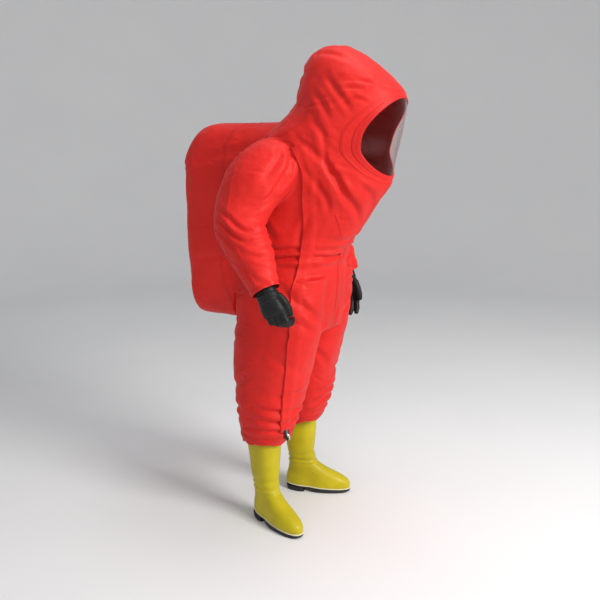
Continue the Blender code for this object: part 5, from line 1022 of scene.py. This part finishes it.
def clear():
    m, n, l, b = material("visor_clear")
    v = n.new("ShaderNodeTexCoord").outputs["Object"]
    out = n["Material Output"]
    tr = n.new("ShaderNodeBsdfTransparent"); tr.inputs["Color"].default_value = (0.97, 0.94, 0.93, 1)
    gl = n.new("ShaderNodeBsdfGlossy"); gl.inputs["Roughness"].default_value = 0.045; gl.inputs["Color"].default_value = (1, 1, 1, 1)
    fr = n.new("ShaderNodeLayerWeight"); fr.inputs["Blend"].default_value = 0.5
    pw = n.new("ShaderNodeMath"); pw.operation = 'POWER'; pw.inputs[1].default_value = 5.5; l.new(fr.outputs["Facing"], pw.inputs[0])
    gain = n.new("ShaderNodeMath"); gain.operation = 'MULTIPLY_ADD'; gain.inputs[1].default_value, gain.inputs[2].default_value = 0.90, 0.010
    l.new(pw.outputs["Value"], gain.inputs[0])
    bp = n.new("ShaderNodeBump"); bp.inputs["Strength"].default_value, bp.inputs["Distance"].default_value = 0.20, 0.004
    l.new(noise_tex(n, l, v, 7.0, 2.0, 0.5, (1.0, 1.0, 0.55)), bp.inputs["Height"])
    l.new(bp.outputs["Normal"], gl.inputs["Normal"]); l.new(bp.outputs["Normal"], fr.inputs["Normal"])
    mix = n.new("ShaderNodeMixShader"); l.new(gain.outputs["Value"], mix.inputs["Fac"]); l.new(tr.outputs["BSDF"], mix.inputs[1]); l.new(gl.outputs["BSDF"], mix.inputs[2])
    l.new(mix.outputs["Shader"], out.inputs["Surface"]); n.remove(b)
    return m
M["visor_clear"] = clear()
def give(ob, key):
    ob.data.materials.clear(); ob.data.materials.append(M[key])
for o in PIECES.values(): give(o, "glove_rubber" if o.name.startswith("hand_") else "suit_fabric")
for o in (flap_u, flap_l): give(o, "suit_fabric")
for obs in TAPES.values():
    for o in obs: give(o, "seam_trim")
give(rim_o, "seam_trim"); give(rim_2, "seam_trim"); give(lens_o, "visor_clear")
for w, seat, cap, disc in valve_parts:
    give(seat, "black_rubber"); give(cap, "plastic_grey"); give(disc, "black_rubber")
    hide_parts("valve_seat_" + w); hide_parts("valve_cap_" + w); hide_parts("valve_disc_" + w)
give(ztape, "zip_tape"); give(teeth, "plastic_grey"); give(slider, "zip_metal"); give(pull, "zip_metal"); give(stop_b, "plastic_grey"); give(belt, "webbing")
for bts in BOOTS.values():
    for o, k in zip(bts, ("boot_yellow", "boot_welt", "boot_sole", "boot_sole")): give(o, k)
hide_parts("torso_shell", "hood_shell", "hump_shell")
for side in ARMS:
    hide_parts("trouser_thigh_" + side, "hip_gusset_" + side)
    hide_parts("trouser_shin_" + side, "knee_gusset_" + side)
    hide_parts("sleeve_upper_" + side)
    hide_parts("sleeve_forearm_" + side, "elbow_gusset_" + side)
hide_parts("zip_flap_torso", "zip_flap_thigh", "zip_tape_torso", "zip_tape_thigh", "zip_stop_top")
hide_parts("zip_flap_shin"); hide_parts("zip_tape_shin"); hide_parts("zip_slider"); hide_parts("zip_pull"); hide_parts("zip_stop_bottom")
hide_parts("visor_lens"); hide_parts("visor_frame"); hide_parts("waist_belt")
for side in ARMS:                      # hard and hidden parts carried over from the CAD model
    for nm, key in (("boot_clamp_", "clamp_steel"), ("boot_insole_", "lining"), ("glove_ring_", "plastic_grey")):
        ob = N[nm + side] if not isinstance(N[nm + side], str) else bpy.data.objects[N[nm + side]]
        ob.data.materials.clear(); ob.data.materials.append(M[key]); ob.data.shade_smooth(); ob.data.set_sharp_from_angle(angle=math.radians(40))

# ------------------------------------------------------------------ floor, world, lights
def floor():
    m, n, l, b = material("floor")
    v = n.new("ShaderNodeTexCoord").outputs["Object"]
    l.new(ramp(n, l, noise_tex(n, l, v, 1.3, 2.0), [(0.3, (0.80, 0.80, 0.805)), (0.7, (0.82, 0.82, 0.822))]), b.inputs["Base Color"])
    b.inputs["Roughness"].default_value = 0.85; b.inputs["Specular IOR Level"].default_value = 0.2
    K = 96; rows = []
    bend = [(0.0005, 0.0), (2.0, 0.0), (5.0, 0.0)] + [(5.0 + 3.0 * math.sin(t), 3.0 - 3.0 * math.cos(t)) for t in np.linspace(0.12, math.pi / 2, 12)] + [(8.0, 5.5)]
    for r, z in bend: rows.append([(r * math.cos(2 * math.pi * k / K), r * math.sin(2 * math.pi * k / K), z - 0.0005) for k in range(K)])
    ob = loft("floor", rows, True, False, shift=False)
    if ob.data.polygons[0].normal.z < 0: ob.data.flip_normals()
    shade(ob.data); ob.data.materials.append(m)
floor()
world = bpy.data.worlds.new("world"); scene.world = world; world.use_nodes = True
bg = world.node_tree.nodes["Background"]; bg.inputs["Color"].default_value = (0.95, 0.97, 1.0, 1); bg.inputs["Strength"].default_value = 0.40
def area(name, loc, target, size, power, color=(1, 1, 1)):
    d = bpy.data.lights.new(name, 'AREA'); d.energy, d.size, d.color = power, size, color
    o = bpy.data.objects.new(name, d); scene.collection.objects.link(o)
    o.location = loc; o.rotation_euler = (Vector(target) - Vector(loc)).to_track_quat('-Z', 'Y').to_euler()
    return o
area("key", (-0.8, -4.1, 3.0), (0, 0, 1.1), 1.7, 205, (1.0, 0.985, 0.96))
area("side", (-3.4, -1.4, 3.0), (0, 0, 1.1), 1.6, 16, (1.0, 0.99, 0.98))
area("top", (0.2, -0.6, 4.2), (0, 0, 1), 1.6, 40, (1, 1, 1))
scene.view_settings.view_transform = 'Standard'
